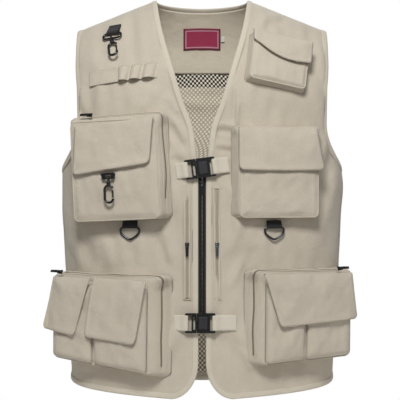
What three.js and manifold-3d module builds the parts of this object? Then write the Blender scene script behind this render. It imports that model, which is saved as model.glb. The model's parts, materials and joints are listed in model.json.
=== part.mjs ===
// Multi-pocket fishing vest: a sleeveless V-neck garment with zipped bellows bags, flapped pockets,
// a centre zip, two side-release buckles, D-rings and snap hooks.
// Millimetres, +Z up, the front faces -Y and the wearer's left is +X.
// The origin is midway between the two points where the shoulder seams meet the neck.
import * as THREE from 'three';
import { mergeVertices } from 'three/addons/utils/BufferGeometryUtils.js';
import Module from 'manifold-3d';

const wasm = await Module();
wasm.setup();

// ---- driving dimensions ----

const body = {
  neckHalfWidth: 75,
  shoulderTip: 204,
  shoulderFall: 51,
  shoulderRound: 180,
  slopeFadeDrop: 260,
  halfWidth: 229,
  hemHalfWidth: 214,
  taperStart: 330,
  frontDepth: 118,
  backDepth: 104,
  squareness: 2.4,
  vDrop: 290,
  backNeckDrop: 6,
  armDrop: 276,
  armBowl: 70,
  armAngle: 56,
  tipAngle: 58.3,
  hemDrop: 641,
  hemSideRise: 22,
  hemBackRise: 4,
  cornerWidth: 43,
  cornerHeight: 58,
  openingHalf: 6.3,
};
const cloth = { panel: 1.2, mesh: 0.8, bindingWidth: 8.5, bindingOut: 0.5, bindingIn: 1.7, seam: 0.3 };
const backCloth = { panelTop: 150, yokeBottom: 190, tuck: 2.6, meshTop: 111, meshOffset: 5.4, meshInset: 14 };
const label = { width: 64, height: 36, top: 36, thick: 0.8, gap: 2.2 };

const mainZip = { bottomDrop: 512, teethHalf: 3, tapeHalf: 16, sliderDrop: 298, pull: 21 };
const buckle = {
  half: 24, tall: 31, thick: 8, rim: 3, wall: 1.8, mouth: -5.5, cavityEnd: 13, slotStart: 15.5,
  barWide: 3.5, barThick: 3.2, windowStart: 2.5, windowEnd: 11, guideHalf: 3, prongTip: 10,
  prongOut: 12.1, prongIn: 8.8, barbOut: 13.8, standOff: 1.5,
};
const webbing = { wide: 25, thick: 1.3 };
const upperBuckle = { x: -3, drop: 278, roll: -7.5, leftEnd: 38, rightEnd: 45 };
const lowerBuckle = { x: -3, drop: 521, roll: 0, leftEnd: 41, rightEnd: 57 };

const weltZip = { x: 23.5, drop: 397, length: 171, wide: 10, thick: 1, teeth: 3, sliderDrop: 395, pull: 20 };
// The slider's post stands in the pull's eye, and the pull turns about the bar above the eye.
const sliderBody = { wide: 7, noseWide: 4.5, long: 9, thick: 2.2, postHalf: 1, postRise: 1.6 };
const pullTab = {
  wide: 4.6, topWide: 3.4, footWide: 3.9, shoulder: 8, thick: 1.2, gap: 0.3, drop: 1.8, bar: 0.9,
  eyeHalf: 1.3, eyeLong: 3.4, postGap: 0.36, footGap: 0.54,
};

const chestBag = {
  x: -127, drop: 277, width: 156, height: 166, depth: 32, corner: 0.07, roll: -2.5, backLimit: 14,
  sliderShare: 0.47, flap: [[-0.82, 0.78], [0.82, 0.92], [-0.92, -0.12], [0.7, 0.04]],
};
const chestPocket = {
  x: 115, drop: 284, width: 140, height: 144, depth: 25, corner: 0.06, roll: 0, backLimit: 14,
  flap: [[-0.93, 0.96], [0.89, 0.96], [-0.93, 0.04], [1.09, 0.04]],
};
const topPocket = {
  x: 120, drop: 110, width: 100, height: 84, depth: 17, corner: 0.06, roll: 12, backLimit: 10,
  flap: [[-1, 0.96], [1.02, 0.96], [-0.96, 0.56], [1.02, 0.08]],
};
const rightCargo = {
  x: -143, aboveHem: 116, width: 194, height: 162, depth: 33, corner: 0.07, roll: 1, backLimit: 24,
  sliderShare: 0.77,
  outerFlap: [[-0.91, 0.93], [-0.24, 0.93], [-1.12, -0.1], [-0.5, -0.22]],
  innerFlap: [[-0.19, 0.93], [0.75, 0.91], [-0.33, -0.22], [0.57, -0.34]],
};
const leftCargo = {
  x: 153, aboveHem: 128, width: 178, height: 152, depth: 33, corner: 0.07, roll: 0, backLimit: 24,
  sliderShare: 0.62, flap: [[-0.87, 0.93], [0.89, 0.93], [-0.56, -0.17], [1.03, -0.04]],
};
const bagPull = 18;
const bagSlider = { lean: 55, out: 0.6, lift: 0.4 };
const flapPlate = { thick: 2.2, gap: 1.7 };

const loopStrip = { x: -126, drop: 129, length: 116, tall: 24, roll: -6, base: 1, skin: 1 };
const toolLoops = [
  { at: 0, wide: 17, rise: 11 },
  { at: 20, wide: 17, rise: 11 },
  { at: 41, wide: 20, rise: 11 },
];

const dRing = { wide: 34, tall: 23, bar: 3, tabWide: 24, tabTall: 10, x: 113, belowBag: 7, standOff: 2.4 };
const snap = { wide: 17, long: 30, bar: 3.4, thick: 4, eye: 3.9, eyeHole: 2.2, neck: 7 };
const shoulderClip = { x: -142, drop: 43, tabWide: 21, tabTall: 20, roll: -8, ringWide: 34, ringTall: 13 };
const pocketClip = { x: -11, drop: 6, tabWide: 24, tabTall: 8 };

// ---- materials ----

function finish(color, roughness, metalness = 0) {
  return new THREE.MeshStandardMaterial({ color, roughness, metalness });
}
const shellCloth = finish('#c9bdaa', 0.9);
const bindingCloth = finish('#dad1be', 0.88);
const meshCloth = finish('#a89f8c', 0.92);
const labelCloth = finish('#8c1f3f', 0.7);
const creamWebbing = finish('#d8cfbc', 0.85);
const blackWebbing = finish('#202022', 0.85);
const blackPlastic = finish('#17171a', 0.38);
const blackPaint = finish('#1b1b1d', 0.32, 0.6);
const gunmetal = finish('#8a8d92', 0.25, 1);
const zipTape = finish('#1c1c1f', 0.75);

const vest = new THREE.Group();

// ---- helpers ----

const rad = THREE.MathUtils.degToRad;
const lerp = THREE.MathUtils.lerp;
const smooth = THREE.MathUtils.smoothstep;

function signedVolume(position, index) {
  const a = new THREE.Vector3();
  const b = new THREE.Vector3();
  const c = new THREE.Vector3();
  let sum = 0;
  for (let i = 0; i < index.count; i += 3) {
    a.fromBufferAttribute(position, index.getX(i));
    b.fromBufferAttribute(position, index.getX(i + 1));
    c.fromBufferAttribute(position, index.getX(i + 2));
    sum += a.dot(b.cross(c)) / 6;
  }
  return sum;
}

// An indexed geometry from points and triangles, turned so that its faces point out.
function closedGeometry(points, faces) {
  const geometry = new THREE.BufferGeometry();
  const flat = points.flatMap((p) => [p.x, p.y, p.z]);
  geometry.setAttribute('position', new THREE.Float32BufferAttribute(flat, 3));
  geometry.setIndex(faces);
  if (signedVolume(geometry.attributes.position, geometry.index) < 0) {
    const turned = [];
    for (let i = 0; i < faces.length; i += 3) turned.push(faces[i], faces[i + 2], faces[i + 1]);
    geometry.setIndex(turned);
  }
  geometry.computeVertexNormals();
  return geometry;
}

// A closed solid between two grids of points with the same rows and columns.
function solidBetween(front, back) {
  const rows = front.length;
  const cols = front[0].length;
  const points = [...front.flat(), ...back.flat()];
  const at = (layer, i, j) => layer * rows * cols + i * cols + j;
  const faces = [];
  const quad = (a, b, c, d) => faces.push(a, b, c, a, c, d);
  for (let i = 0; i + 1 < rows; i++) {
    for (let j = 0; j + 1 < cols; j++) {
      quad(at(0, i, j), at(0, i, j + 1), at(0, i + 1, j + 1), at(0, i + 1, j));
      quad(at(1, i, j), at(1, i + 1, j), at(1, i + 1, j + 1), at(1, i, j + 1));
    }
  }
  for (let j = 0; j + 1 < cols; j++) {
    quad(at(0, 0, j + 1), at(0, 0, j), at(1, 0, j), at(1, 0, j + 1));
    quad(at(0, rows - 1, j), at(0, rows - 1, j + 1), at(1, rows - 1, j + 1), at(1, rows - 1, j));
  }
  for (let i = 0; i + 1 < rows; i++) {
    quad(at(0, i, 0), at(0, i + 1, 0), at(1, i + 1, 0), at(1, i, 0));
    quad(at(0, i + 1, cols - 1), at(0, i, cols - 1), at(1, i, cols - 1), at(1, i + 1, cols - 1));
  }
  return closedGeometry(points, faces);
}

// A closed ring from a list of sections, each with the same number of points.
function ringOf(sections) {
  const size = sections[0].length;
  const faces = [];
  sections.forEach((_, i) => {
    const next = (i + 1) % sections.length;
    for (let k = 0; k < size; k++) {
      const up = (k + 1) % size;
      const [a, b] = [i * size + k, i * size + up];
      const [c, d] = [next * size + up, next * size + k];
      faces.push(a, b, c, a, c, d);
    }
  });
  return closedGeometry(sections.flat(), faces);
}

function toSolid(geometry) {
  const bare = new THREE.BufferGeometry();
  bare.setAttribute('position', geometry.attributes.position.clone());
  if (geometry.index) bare.setIndex(geometry.index.clone());
  const merged = mergeVertices(bare, 1e-4);
  const mesh = new wasm.Mesh({
    numProp: 3,
    vertProperties: new Float32Array(merged.attributes.position.array),
    triVerts: new Uint32Array(merged.index.array),
  });
  return new wasm.Manifold(mesh);
}

function fromSolid(solid) {
  const mesh = solid.getMesh();
  const geometry = new THREE.BufferGeometry();
  geometry.setAttribute('position', new THREE.Float32BufferAttribute(mesh.vertProperties, 3));
  geometry.setIndex(Array.from(mesh.triVerts));
  geometry.computeVertexNormals();
  return geometry;
}

function combine(base, added, cut = []) {
  let solid = toSolid(base);
  for (const piece of added) solid = solid.add(toSolid(piece));
  for (const piece of cut) solid = solid.subtract(toSolid(piece));
  return fromSolid(solid);
}

function block(x0, x1, y0, y1, z0, z1) {
  const box = new THREE.BoxGeometry(x1 - x0, y1 - y0, z1 - z0);
  return box.translate((x0 + x1) / 2, (y0 + y1) / 2, (z0 + z1) / 2);
}

// A flat outline, run anticlockwise, with its holes run clockwise.
function shapeOf(points, holes = []) {
  const run = (line, clockwise) => {
    const path = line.map(([x, y]) => new THREE.Vector2(x, y));
    return THREE.ShapeUtils.isClockWise(path) === clockwise ? path : path.reverse();
  };
  const shape = new THREE.Shape(run(points, false));
  shape.holes = holes.map((hole) => new THREE.Path(run(hole, true)));
  return shape;
}

function straight(shape, depth, curveSegments = 6) {
  return new THREE.ExtrudeGeometry(shape, { depth, bevelEnabled: false, curveSegments });
}

// A plate drawn in x and z, from y = 0 outwards to y = -depth.
function facing(shape, depth, curveSegments = 6) {
  return straight(shape, depth, curveSegments).rotateX(Math.PI / 2);
}

// A bar whose section is drawn in y and z, centred on x = 0.
function across(shape, length) {
  const turn = new THREE.Matrix4();
  turn.makeBasis(new THREE.Vector3(0, 1, 0), new THREE.Vector3(0, 0, 1), new THREE.Vector3(1, 0, 0));
  return straight(shape, length).translate(0, 0, -length / 2).applyMatrix4(turn);
}

function arc(cx, cy, rx, ry, from, to, steps) {
  const points = [];
  for (let i = 0; i <= steps; i++) {
    const turn = rad(lerp(from, to, i / steps));
    points.push([cx + rx * Math.cos(turn), cy + ry * Math.sin(turn)]);
  }
  return points;
}

function addPiece(parent, name, geometry, material) {
  const mesh = new THREE.Mesh(geometry, material);
  mesh.name = name;
  parent.add(mesh);
  return mesh;
}

// ---- the garment's surface ----
// A point is named by the angle round the body (0 is the front centre, 90 degrees the wearer's
// left side, 180 the back centre) and the run of cloth down from the shoulder line. The section
// is a superellipse, and over the shoulder the run rolls the depth in to nothing.

const roundRun = body.shoulderRound * Math.PI / 2;

function dropOf(run) {
  if (run < roundRun) return body.shoulderRound * (1 - Math.cos(run / body.shoulderRound));
  return body.shoulderRound + run - roundRun;
}

function softAbs(x) {
  const soft = 20;
  return Math.sqrt(x * x + soft * soft);
}

function shoulderLine(x) {
  const slope = body.shoulderFall / (softAbs(body.shoulderTip) - softAbs(body.neckHalfWidth));
  return slope * (softAbs(body.neckHalfWidth) - softAbs(x));
}

function halfWidthAt(drop) {
  return lerp(body.halfWidth, body.hemHalfWidth, smooth(drop, body.taperStart, body.hemDrop));
}

function torso(angle, run, offset = 0) {
  if (offset !== 0) return torso(angle, run).addScaledVector(normalAt(angle, run), offset);
  const drop = dropOf(run);
  const lift = run < roundRun ? Math.sin(run / body.shoulderRound) : 1;
  const [s, c] = [Math.sin(angle), Math.cos(angle)];
  const n = body.squareness;
  const reach = (Math.abs(s) ** n + Math.abs(c) ** n) ** (-1 / n);
  const x = halfWidthAt(drop) * reach * s;
  const depth = c > 0 ? body.frontDepth : body.backDepth;
  const fade = 1 - smooth(drop, 0, body.slopeFadeDrop);
  return new THREE.Vector3(x, -depth * reach * c * lift, shoulderLine(x) * fade - drop);
}

function slopesAt(angle, run) {
  const [da, dr] = [0.004, 0.5];
  const byAngle = torso(angle + da, run).sub(torso(angle - da, run)).divideScalar(2 * da);
  const byRun = torso(angle, run + dr).sub(torso(angle, run - dr)).divideScalar(2 * dr);
  return [byAngle, byRun];
}

function normalAt(angle, run) {
  const [byAngle, byRun] = slopesAt(angle, run);
  return byRun.cross(byAngle).normalize();
}

// The run that reaches height z at sideways distance x.
function runAt(x, z) {
  let [low, high] = [0, 2 * body.hemDrop];
  for (let i = 0; i < 40; i++) {
    const middle = (low + high) / 2;
    const drop = dropOf(middle);
    const height = shoulderLine(x) * (1 - smooth(drop, 0, body.slopeFadeDrop)) - drop;
    if (height > z) low = middle;
    else high = middle;
  }
  return low;
}

function angleAt(x, run) {
  const across = Math.min(Math.abs(x) / halfWidthAt(dropOf(run)), 1);
  const depth = (1 - across ** body.squareness) ** (1 / body.squareness);
  return Math.sign(x) * Math.atan2(across, depth);
}

function frontSpot(x, z) {
  const run = runAt(x, z);
  return { angle: angleAt(x, run), run };
}

function mirrored(spot) {
  return { angle: -spot.angle, run: spot.run };
}

function behind(spot) {
  return { angle: Math.PI - spot.angle, run: spot.run };
}

// Half the width of the front opening at a height: the V, then the zip's straight edges.
const vShape = [[0, 1], [0.19, 0.847], [0.39, 0.607], [0.59, 0.352], [0.73, 0.134], [0.866, 0.054], [1, 0]];

function openingAt(z) {
  const share = Math.min(Math.max(-z / body.vDrop, 0), 1);
  let i = 0;
  while (i < vShape.length - 2 && share > vShape[i + 1][0]) i++;
  const slope = (a, b) => (vShape[b][1] - vShape[a][1]) / (vShape[b][0] - vShape[a][0]);
  const span = vShape[i + 1][0] - vShape[i][0];
  const t = (share - vShape[i][0]) / span;
  const from = slope(Math.max(i - 1, 0), i + 1) * span;
  const to = slope(i, Math.min(i + 2, vShape.length - 1)) * span;
  const [a, b] = [vShape[i][1], vShape[i + 1][1]];
  const open = a + t * from + t * t * (3 * (b - a) - 2 * from - to) + t * t * t * (2 * (a - b) + from + to);
  return body.openingHalf + open * (body.neckHalfWidth - body.openingHalf);
}

// ---- the garment's edges, as lists of spots on the wearer's left ----

const shoulderAngles = [0, 9, 18, 28, 40, 54, 70];
const shoulderRuns = shoulderAngles.map((turn) => body.shoulderRound * rad(turn));
const armSteps = 4;
const bodySteps = 7;
const cornerSteps = 3;
const hemSteps = 9;
const neckSteps = 5;
const seamRun = 0.5;
const seamAngle = rad(0.1);

function openingSpot(run) {
  let x = body.neckHalfWidth;
  for (let i = 0; i < 12; i++) x = openingAt(torso(angleAt(x, run), run).z);
  return { angle: angleAt(x, run), run };
}

// From the neck down the V and the zip edge, round the hem corner.
function frontEdge() {
  const spots = shoulderRuns.map(openingSpot);
  const vTop = torso(spots.at(-1).angle, spots.at(-1).run).z;
  for (let i = 1; i <= armSteps; i++) {
    const z = lerp(vTop, -body.vDrop, i / armSteps);
    spots.push(frontSpot(openingAt(z), z));
  }
  const cornerTop = body.cornerHeight - body.hemDrop;
  for (let i = 1; i <= bodySteps; i++) {
    spots.push(frontSpot(body.openingHalf, lerp(-body.vDrop, cornerTop, i / bodySteps)));
  }
  for (let i = 1; i <= cornerSteps; i++) {
    const turn = rad(90 * i / cornerSteps);
    const x = body.openingHalf + body.cornerWidth * (1 - Math.cos(turn));
    spots.push(frontSpot(x, cornerTop - body.cornerHeight * Math.sin(turn)));
  }
  return spots;
}

function hemSpots(start) {
  const spots = [];
  for (let i = 1; i <= hemSteps; i++) {
    const angle = lerp(start.angle, Math.PI / 2, i / hemSteps);
    const share = (angle - start.angle) / (Math.PI / 2 - start.angle);
    spots.push({ angle, run: start.run - body.hemSideRise * share });
  }
  return spots;
}

function backHemSpots(start) {
  const spots = [];
  const centreRun = runAt(0, body.hemBackRise - body.hemDrop);
  for (let i = 1; i <= hemSteps; i++) {
    const share = i / hemSteps;
    spots.push({ angle: Math.PI / 2 * (1 + share), run: lerp(start.run, centreRun, smooth(share, 0, 1)) });
  }
  return spots;
}

function backNeckSpots() {
  const spots = [];
  for (let i = 1; i <= neckSteps; i++) {
    const turn = rad(90 * i / neckSteps);
    const spot = frontSpot(body.neckHalfWidth * Math.cos(turn), -body.backNeckDrop * Math.sin(turn));
    spots.push(behind(spot));
  }
  return spots;
}

// The front half of an armhole, from the shoulder tip down to the underarm.
function armEdge() {
  const bowlTop = body.armDrop - body.armBowl;
  const spots = shoulderRuns.map((run) => {
    const share = smooth(dropOf(run), body.shoulderRound / 3, bowlTop - body.shoulderFall);
    return { angle: rad(lerp(body.tipAngle, body.armAngle, share)), run };
  });
  for (let i = 0; i <= armSteps; i++) {
    const turn = rad(90 * i / armSteps);
    const angle = rad(90 - (90 - body.armAngle) * Math.cos(turn));
    const x = torso(angle, spots.at(-1).run).x;
    spots.push({ angle, run: runAt(x, -bowlTop - body.armBowl * Math.sin(turn)) });
  }
  return spots;
}

// Moves each spot of a closed loop sideways across the cloth; a positive side is to its left.
function insetLoop(loop, distance) {
  return loop.map((spot, i) => {
    const before = loop[(i + loop.length - 1) % loop.length];
    const after = loop[(i + 1) % loop.length];
    const along = torso(after.angle, after.run).sub(torso(before.angle, before.run)).normalize();
    const [byAngle, byRun] = slopesAt(spot.angle, spot.run);
    const side = normalAt(spot.angle, spot.run).cross(along).normalize();
    const [aa, ar, rr] = [byAngle.dot(byAngle), byAngle.dot(byRun), byRun.dot(byRun)];
    const [sa, sr] = [side.dot(byAngle), side.dot(byRun)];
    const scale = distance / (aa * rr - ar * ar);
    return {
      angle: spot.angle + scale * (sa * rr - sr * ar),
      run: spot.run + scale * (sr * aa - sa * ar),
    };
  });
}

const leftFront = frontEdge();
const leftHem = hemSpots(leftFront.at(-1));
const leftBackHem = backHemSpots(leftHem.at(-1));
const leftNeck = backNeckSpots();
const wholeHem = [...leftFront, ...leftHem, ...leftBackHem];
const rightHalf = [...wholeHem.slice(0, -1), ...leftNeck.slice(0, -1)].map(mirrored);
const rightDown = rightHalf.slice(0, wholeHem.length - 1).reverse();
const rightNeck = rightHalf.slice(wholeHem.length - 1);
const edgeLoop = [...wholeHem, ...rightDown, ...rightNeck, ...leftNeck.slice().reverse()];

const armFront = armEdge();
const armLoop = [...armFront, ...armFront.slice(1, -1).reverse().map(behind)];

const setBack = cloth.bindingWidth + cloth.seam;
const edgeInner = insetLoop(edgeLoop, cloth.bindingWidth);
const edgePanel = insetLoop(edgeLoop, setBack);
const armInner = insetLoop(armLoop, -cloth.bindingWidth);
const armPanel = insetLoop(armLoop, -setBack);

function bindingGeometry(outer, inner) {
  return ringOf(outer.map((spot, i) => [
    torso(spot.angle, spot.run, cloth.bindingOut),
    torso(inner[i].angle, inner[i].run, cloth.bindingOut),
    torso(inner[i].angle, inner[i].run, -cloth.bindingIn),
    torso(spot.angle, spot.run, -cloth.bindingIn),
  ]));
}

// ---- panels ----

function between(a, b, share) {
  return { angle: lerp(a.angle, b.angle, share), run: lerp(a.run, b.run, share) };
}

function spotLine(a, b, steps) {
  return Array.from({ length: steps + 1 }, (_, i) => between(a, b, i / steps));
}

// A grid of spots blended from its four edges (left and right run upwards, bottom and top outwards).
function blendedGrid(left, right, bottom, top) {
  const [rows, cols] = [left.length - 1, bottom.length - 1];
  return left.map((start, i) => bottom.map((foot, j) => {
    const [u, v] = [j / cols, i / rows];
    const value = (key) => lerp(start[key], right[i][key], u) + lerp(foot[key], top[j][key], v)
      - lerp(lerp(bottom[0][key], bottom[cols][key], u), lerp(top[0][key], top[cols][key], u), v);
    return { angle: value('angle'), run: value('run') };
  }));
}

function mirroredGrid(grid) {
  return grid.map((row) => [...row.slice(1).reverse().map((spot) => ({
    angle: 2 * Math.PI - spot.angle, run: spot.run,
  })), ...row]);
}

function sheet(grid, outside, thick) {
  const layer = (extra) => grid.map((row) => row.map((spot) => {
    return torso(spot.angle, spot.run, outside(spot.run) - extra);
  }));
  return solidBetween(layer(0), layer(thick));
}

const flush = () => 0;
const count = leftFront.length;
const armCount = armFront.length;

function frontGrid() {
  const left = edgePanel.slice(0, count).reverse();
  const bottom = edgePanel.slice(count - 1, count + hemSteps);
  bottom[hemSteps] = { ...bottom[hemSteps], angle: Math.PI / 2 - seamAngle };
  left[left.length - 1] = { ...left.at(-1), run: seamRun };
  const arm = armPanel.slice(0, armCount).reverse();
  arm[0] = { ...arm[0], angle: Math.PI / 2 - seamAngle };
  arm[arm.length - 1] = { ...arm.at(-1), run: seamRun };
  const right = [...spotLine(bottom.at(-1), arm[0], left.length - arm.length).slice(0, -1), ...arm];
  return blendedGrid(left, right, bottom, spotLine(left.at(-1), right.at(-1), hemSteps));
}

// The back half of the armhole's inset edge, from the shoulder tip down to the underarm.
const armBack = [armPanel[0], ...armPanel.slice(armCount).reverse(), armPanel[armCount - 1]].map((spot, i) => {
  if (i === 0) return { angle: Math.PI - spot.angle, run: seamRun };
  return spot;
});

function armBackBelow(drop) {
  return armBack.filter((spot) => dropOf(spot.run) > drop);
}

function backGrid() {
  const bottom = edgePanel.slice(count + hemSteps - 1, count + 2 * hemSteps).reverse();
  bottom[hemSteps] = { ...bottom[hemSteps], angle: Math.PI / 2 + seamAngle };
  bottom[0] = { ...bottom[0], angle: Math.PI };
  const arm = armBackBelow(backCloth.panelTop - body.shoulderFall).reverse();
  arm[0] = { ...arm[0], angle: Math.PI / 2 + seamAngle };
  const right = [...spotLine(bottom.at(-1), arm[0], bodySteps).slice(0, -1), ...arm];
  const centreTop = { angle: Math.PI, run: runAt(0, -backCloth.panelTop) };
  const top = spotLine(centreTop, right.at(-1), hemSteps);
  return mirroredGrid(blendedGrid(spotLine(bottom[0], centreTop, right.length - 1), right, bottom, top));
}

function yokeGrid() {
  const neck = [edgePanel[0], ...edgePanel.slice(-neckSteps).reverse()].reverse();
  neck[0] = { ...neck[0], angle: Math.PI };
  neck[neckSteps] = { angle: Math.PI - neck[neckSteps].angle, run: seamRun };
  const shoulderSteps = hemSteps - neckSteps;
  const top = [...neck, ...spotLine(neck[neckSteps], armBack[0], shoulderSteps).slice(1)];
  const edge = armBack.filter((spot) => dropOf(spot.run) < backCloth.yokeBottom).reverse();
  const foot = { angle: Math.PI, run: runAt(0, -backCloth.yokeBottom) };
  const left = spotLine(foot, top[0], edge.length - 1);
  return mirroredGrid(blendedGrid(left, edge, spotLine(foot, edge[0], hemSteps), top));
}

function tuckUnderYoke(run) {
  return -backCloth.tuck * (1 - smooth(dropOf(run), backCloth.yokeBottom + 4, backCloth.yokeBottom + 30));
}

function liningGrid() {
  const steps = 8;
  const side = rad(96);
  const lift = backCloth.meshInset;
  const bottom = Array.from({ length: steps + 1 }, (_, i) => {
    const angle = lerp(Math.PI, side, i / steps);
    const at = leftBackHem.reduce((a, b) => (Math.abs(b.angle - angle) < Math.abs(a.angle - angle) ? b : a));
    return { angle, run: at.run - lift };
  });
  const topRun = runAt(0, -backCloth.meshTop);
  const edge = armBackBelow(backCloth.meshTop - body.shoulderFall / 2).reverse().slice(1);
  const arm = edge.map((spot) => ({ angle: spot.angle + rad(5), run: spot.run }));
  const right = [...spotLine(bottom.at(-1), { angle: side, run: arm[0].run + 2 * lift }, 5), ...arm];
  const top = spotLine({ angle: Math.PI, run: topRun }, right.at(-1), steps);
  return mirroredGrid(blendedGrid(spotLine(bottom[0], top[0], right.length - 1), right, bottom, top));
}

function labelGrid() {
  const half = label.width / 2;
  const heights = [0, 0.5, 1].map((share) => -label.top - label.height * (1 - share));
  return heights.map((z) => [-1, -0.5, 0, 0.5, 1].map((share) => behind(frontSpot(half * share, z))));
}

const leftGrid = frontGrid();
addPiece(vest, 'left_front_panel', sheet(leftGrid, flush, cloth.panel), shellCloth);
addPiece(vest, 'right_front_panel', sheet(leftGrid.map((row) => row.map(mirrored)), flush, cloth.panel), shellCloth);
addPiece(vest, 'back_panel', sheet(backGrid(), tuckUnderYoke, cloth.panel), shellCloth);
addPiece(vest, 'back_yoke', sheet(yokeGrid(), flush, cloth.panel), shellCloth);
addPiece(vest, 'back_mesh_lining', sheet(liningGrid(), () => -backCloth.meshOffset, cloth.mesh), meshCloth);
addPiece(vest, 'edge_binding', bindingGeometry(edgeLoop, edgeInner), bindingCloth);
addPiece(vest, 'left_armhole_binding', bindingGeometry(armLoop, armInner), bindingCloth);
addPiece(
  vest, 'right_armhole_binding', bindingGeometry(armLoop.map(mirrored), armInner.map(mirrored)), bindingCloth,
);
const labelDepth = () => -cloth.panel - label.gap;
addPiece(vest, 'woven_label', sheet(labelGrid(), labelDepth, label.thick), labelCloth);

// ---- seats: frames on the cloth, with -Y straight out of it ----

function seatAt(x, z, roll = 0, parent = vest) {
  const spot = frontSpot(x, z);
  const normal = normalAt(spot.angle, spot.run);
  const seat = new THREE.Group();
  seat.position.copy(torso(spot.angle, spot.run));
  seat.rotation.set(-Math.asin(normal.z), rad(roll), Math.atan2(normal.x, -normal.y), 'ZXY');
  parent.add(seat);
  seat.updateMatrixWorld(true);
  return seat;
}

function clothY(x, z) {
  const spot = frontSpot(x, z);
  if (Math.abs(x) >= halfWidthAt(dropOf(spot.run))) return Infinity;
  return torso(spot.angle, spot.run).y;
}

// How far back a seat's point can go before it meets the cloth, up to a limit.
function clothBehind(seat, x, z, gap, limit) {
  let [out, back] = [-90, limit];
  for (let i = 0; i < 26; i++) {
    const middle = (out + back) / 2;
    const p = seat.localToWorld(new THREE.Vector3(x, middle, z));
    if (p.y < clothY(p.x, p.z) - gap) out = middle;
    else back = middle;
  }
  return out;
}

// ---- pockets and bags ----

const pocketGap = 2.2;
const pocketSteps = 8;
const edgePower = 6;
const edgeFall = 0.24;

function gridLine(steps) {
  return Array.from({ length: steps + 1 }, (_, i) => 2 * i / steps - 1);
}

function pocketFront(pocket, u, v) {
  const reach = Math.min(Math.max(Math.abs(u), Math.abs(v)), 1);
  return -pocket.depth * (1 - edgeFall * reach ** edgePower);
}

function pocketSolid(seat, pocket) {
  const line = gridLine(pocketSteps);
  const place = (u, v) => [
    pocket.width / 2 * u * (1 - pocket.corner * Math.abs(v) ** edgePower),
    pocket.height / 2 * v * (1 - pocket.corner * Math.abs(u) ** edgePower),
  ];
  const layer = (depth) => line.map((v) => line.map((u) => {
    const [x, z] = place(u, v);
    return new THREE.Vector3(x, depth(u, v, x, z), z);
  }));
  const front = layer((u, v) => pocketFront(pocket, u, v));
  const back = layer((u, v, x, z) => clothBehind(seat, x, z, pocketGap, pocket.backLimit));
  return solidBetween(front, back);
}

// A flap over a pocket's front. Its corners are shares of the pocket's half-width and half-height.
function flapSolid(pocket, corners) {
  const [topLeft, topRight, footLeft, footRight] = corners;
  const round = 0.06;
  const layer = (extra) => gridLine(6).map((t) => gridLine(6).map((s) => {
    const down = (t + 1) / 2;
    const side = (1 + s * (1 - round * down ** edgePower)) / 2;
    const foot = down * (1 - round * Math.abs(s) ** edgePower * down);
    const top = [lerp(topLeft[0], topRight[0], side), lerp(topLeft[1], topRight[1], side)];
    const bottom = [lerp(footLeft[0], footRight[0], side), lerp(footLeft[1], footRight[1], side)];
    const [u, v] = [lerp(top[0], bottom[0], foot), lerp(top[1], bottom[1], foot)];
    const y = pocketFront(pocket, u, v) - flapPlate.gap - extra;
    return new THREE.Vector3(pocket.width / 2 * u, y, pocket.height / 2 * v);
  }));
  return solidBetween(layer(flapPlate.thick), layer(0));
}

// A zip slider, drawn with its nose down; lie turns it from the cloth's front to a bag's top wall.
function addSlider(seat, name, x, y, z, material, lie = new THREE.Matrix4()) {
  const holder = new THREE.Group();
  holder.position.set(x, y, z);
  holder.setRotationFromMatrix(lie);
  seat.add(holder);
  const { wide, noseWide, long, thick, postHalf, postRise } = sliderBody;
  const nose = [[-wide / 2, 0], [wide / 2, 0], [noseWide / 2, -long], [-noseWide / 2, -long]];
  const eyeTop = -pullTab.drop - pullTab.bar;
  const post = block(
    -postHalf, postHalf, -thick - postRise, -thick + 0.2,
    eyeTop - pullTab.eyeLong + pullTab.footGap, eyeTop - pullTab.postGap,
  );
  addPiece(holder, `${name}_slider`, combine(facing(shapeOf(nose), thick), [post]), material);
  return holder;
}

// A pull tab that lies along the zip, hinged by its eye on the slider's post.
function addPull(holder, name, length, material) {
  const { wide, topWide, footWide, shoulder, thick, gap, drop, bar, eyeHalf, eyeLong } = pullTab;
  const outline = [
    [-topWide / 2, -drop], [topWide / 2, -drop], [wide / 2, -drop - shoulder],
    [footWide / 2, -drop - length], [-footWide / 2, -drop - length], [-wide / 2, -drop - shoulder],
  ];
  const [eyeTop, eyeFoot] = [-drop - bar, -drop - bar - eyeLong];
  const eye = [[-eyeHalf, eyeFoot], [eyeHalf, eyeFoot], [eyeHalf, eyeTop], [-eyeHalf, eyeTop]];
  const plate = facing(shapeOf(outline, [eye]), thick).translate(0, -sliderBody.thick - gap, 0);
  addPiece(holder, `${name}_pull`, plate, material);
}

const chestSeat = seatAt(chestBag.x, -chestBag.drop, chestBag.roll);
addPiece(chestSeat, 'right_chest_bag', pocketSolid(chestSeat, chestBag), shellCloth);
addPiece(chestSeat, 'right_chest_bag_flap', flapSolid(chestBag, chestBag.flap), shellCloth);

const chestPocketSeat = seatAt(chestPocket.x, -chestPocket.drop, chestPocket.roll);
addPiece(chestPocketSeat, 'left_chest_pocket', pocketSolid(chestPocketSeat, chestPocket), shellCloth);
addPiece(chestPocketSeat, 'left_chest_pocket_flap', flapSolid(chestPocket, chestPocket.flap), shellCloth);

const topSeat = seatAt(topPocket.x, -topPocket.drop, topPocket.roll);
addPiece(topSeat, 'left_top_pocket', pocketSolid(topSeat, topPocket), shellCloth);
addPiece(topSeat, 'left_top_pocket_flap', flapSolid(topPocket, topPocket.flap), shellCloth);

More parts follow.
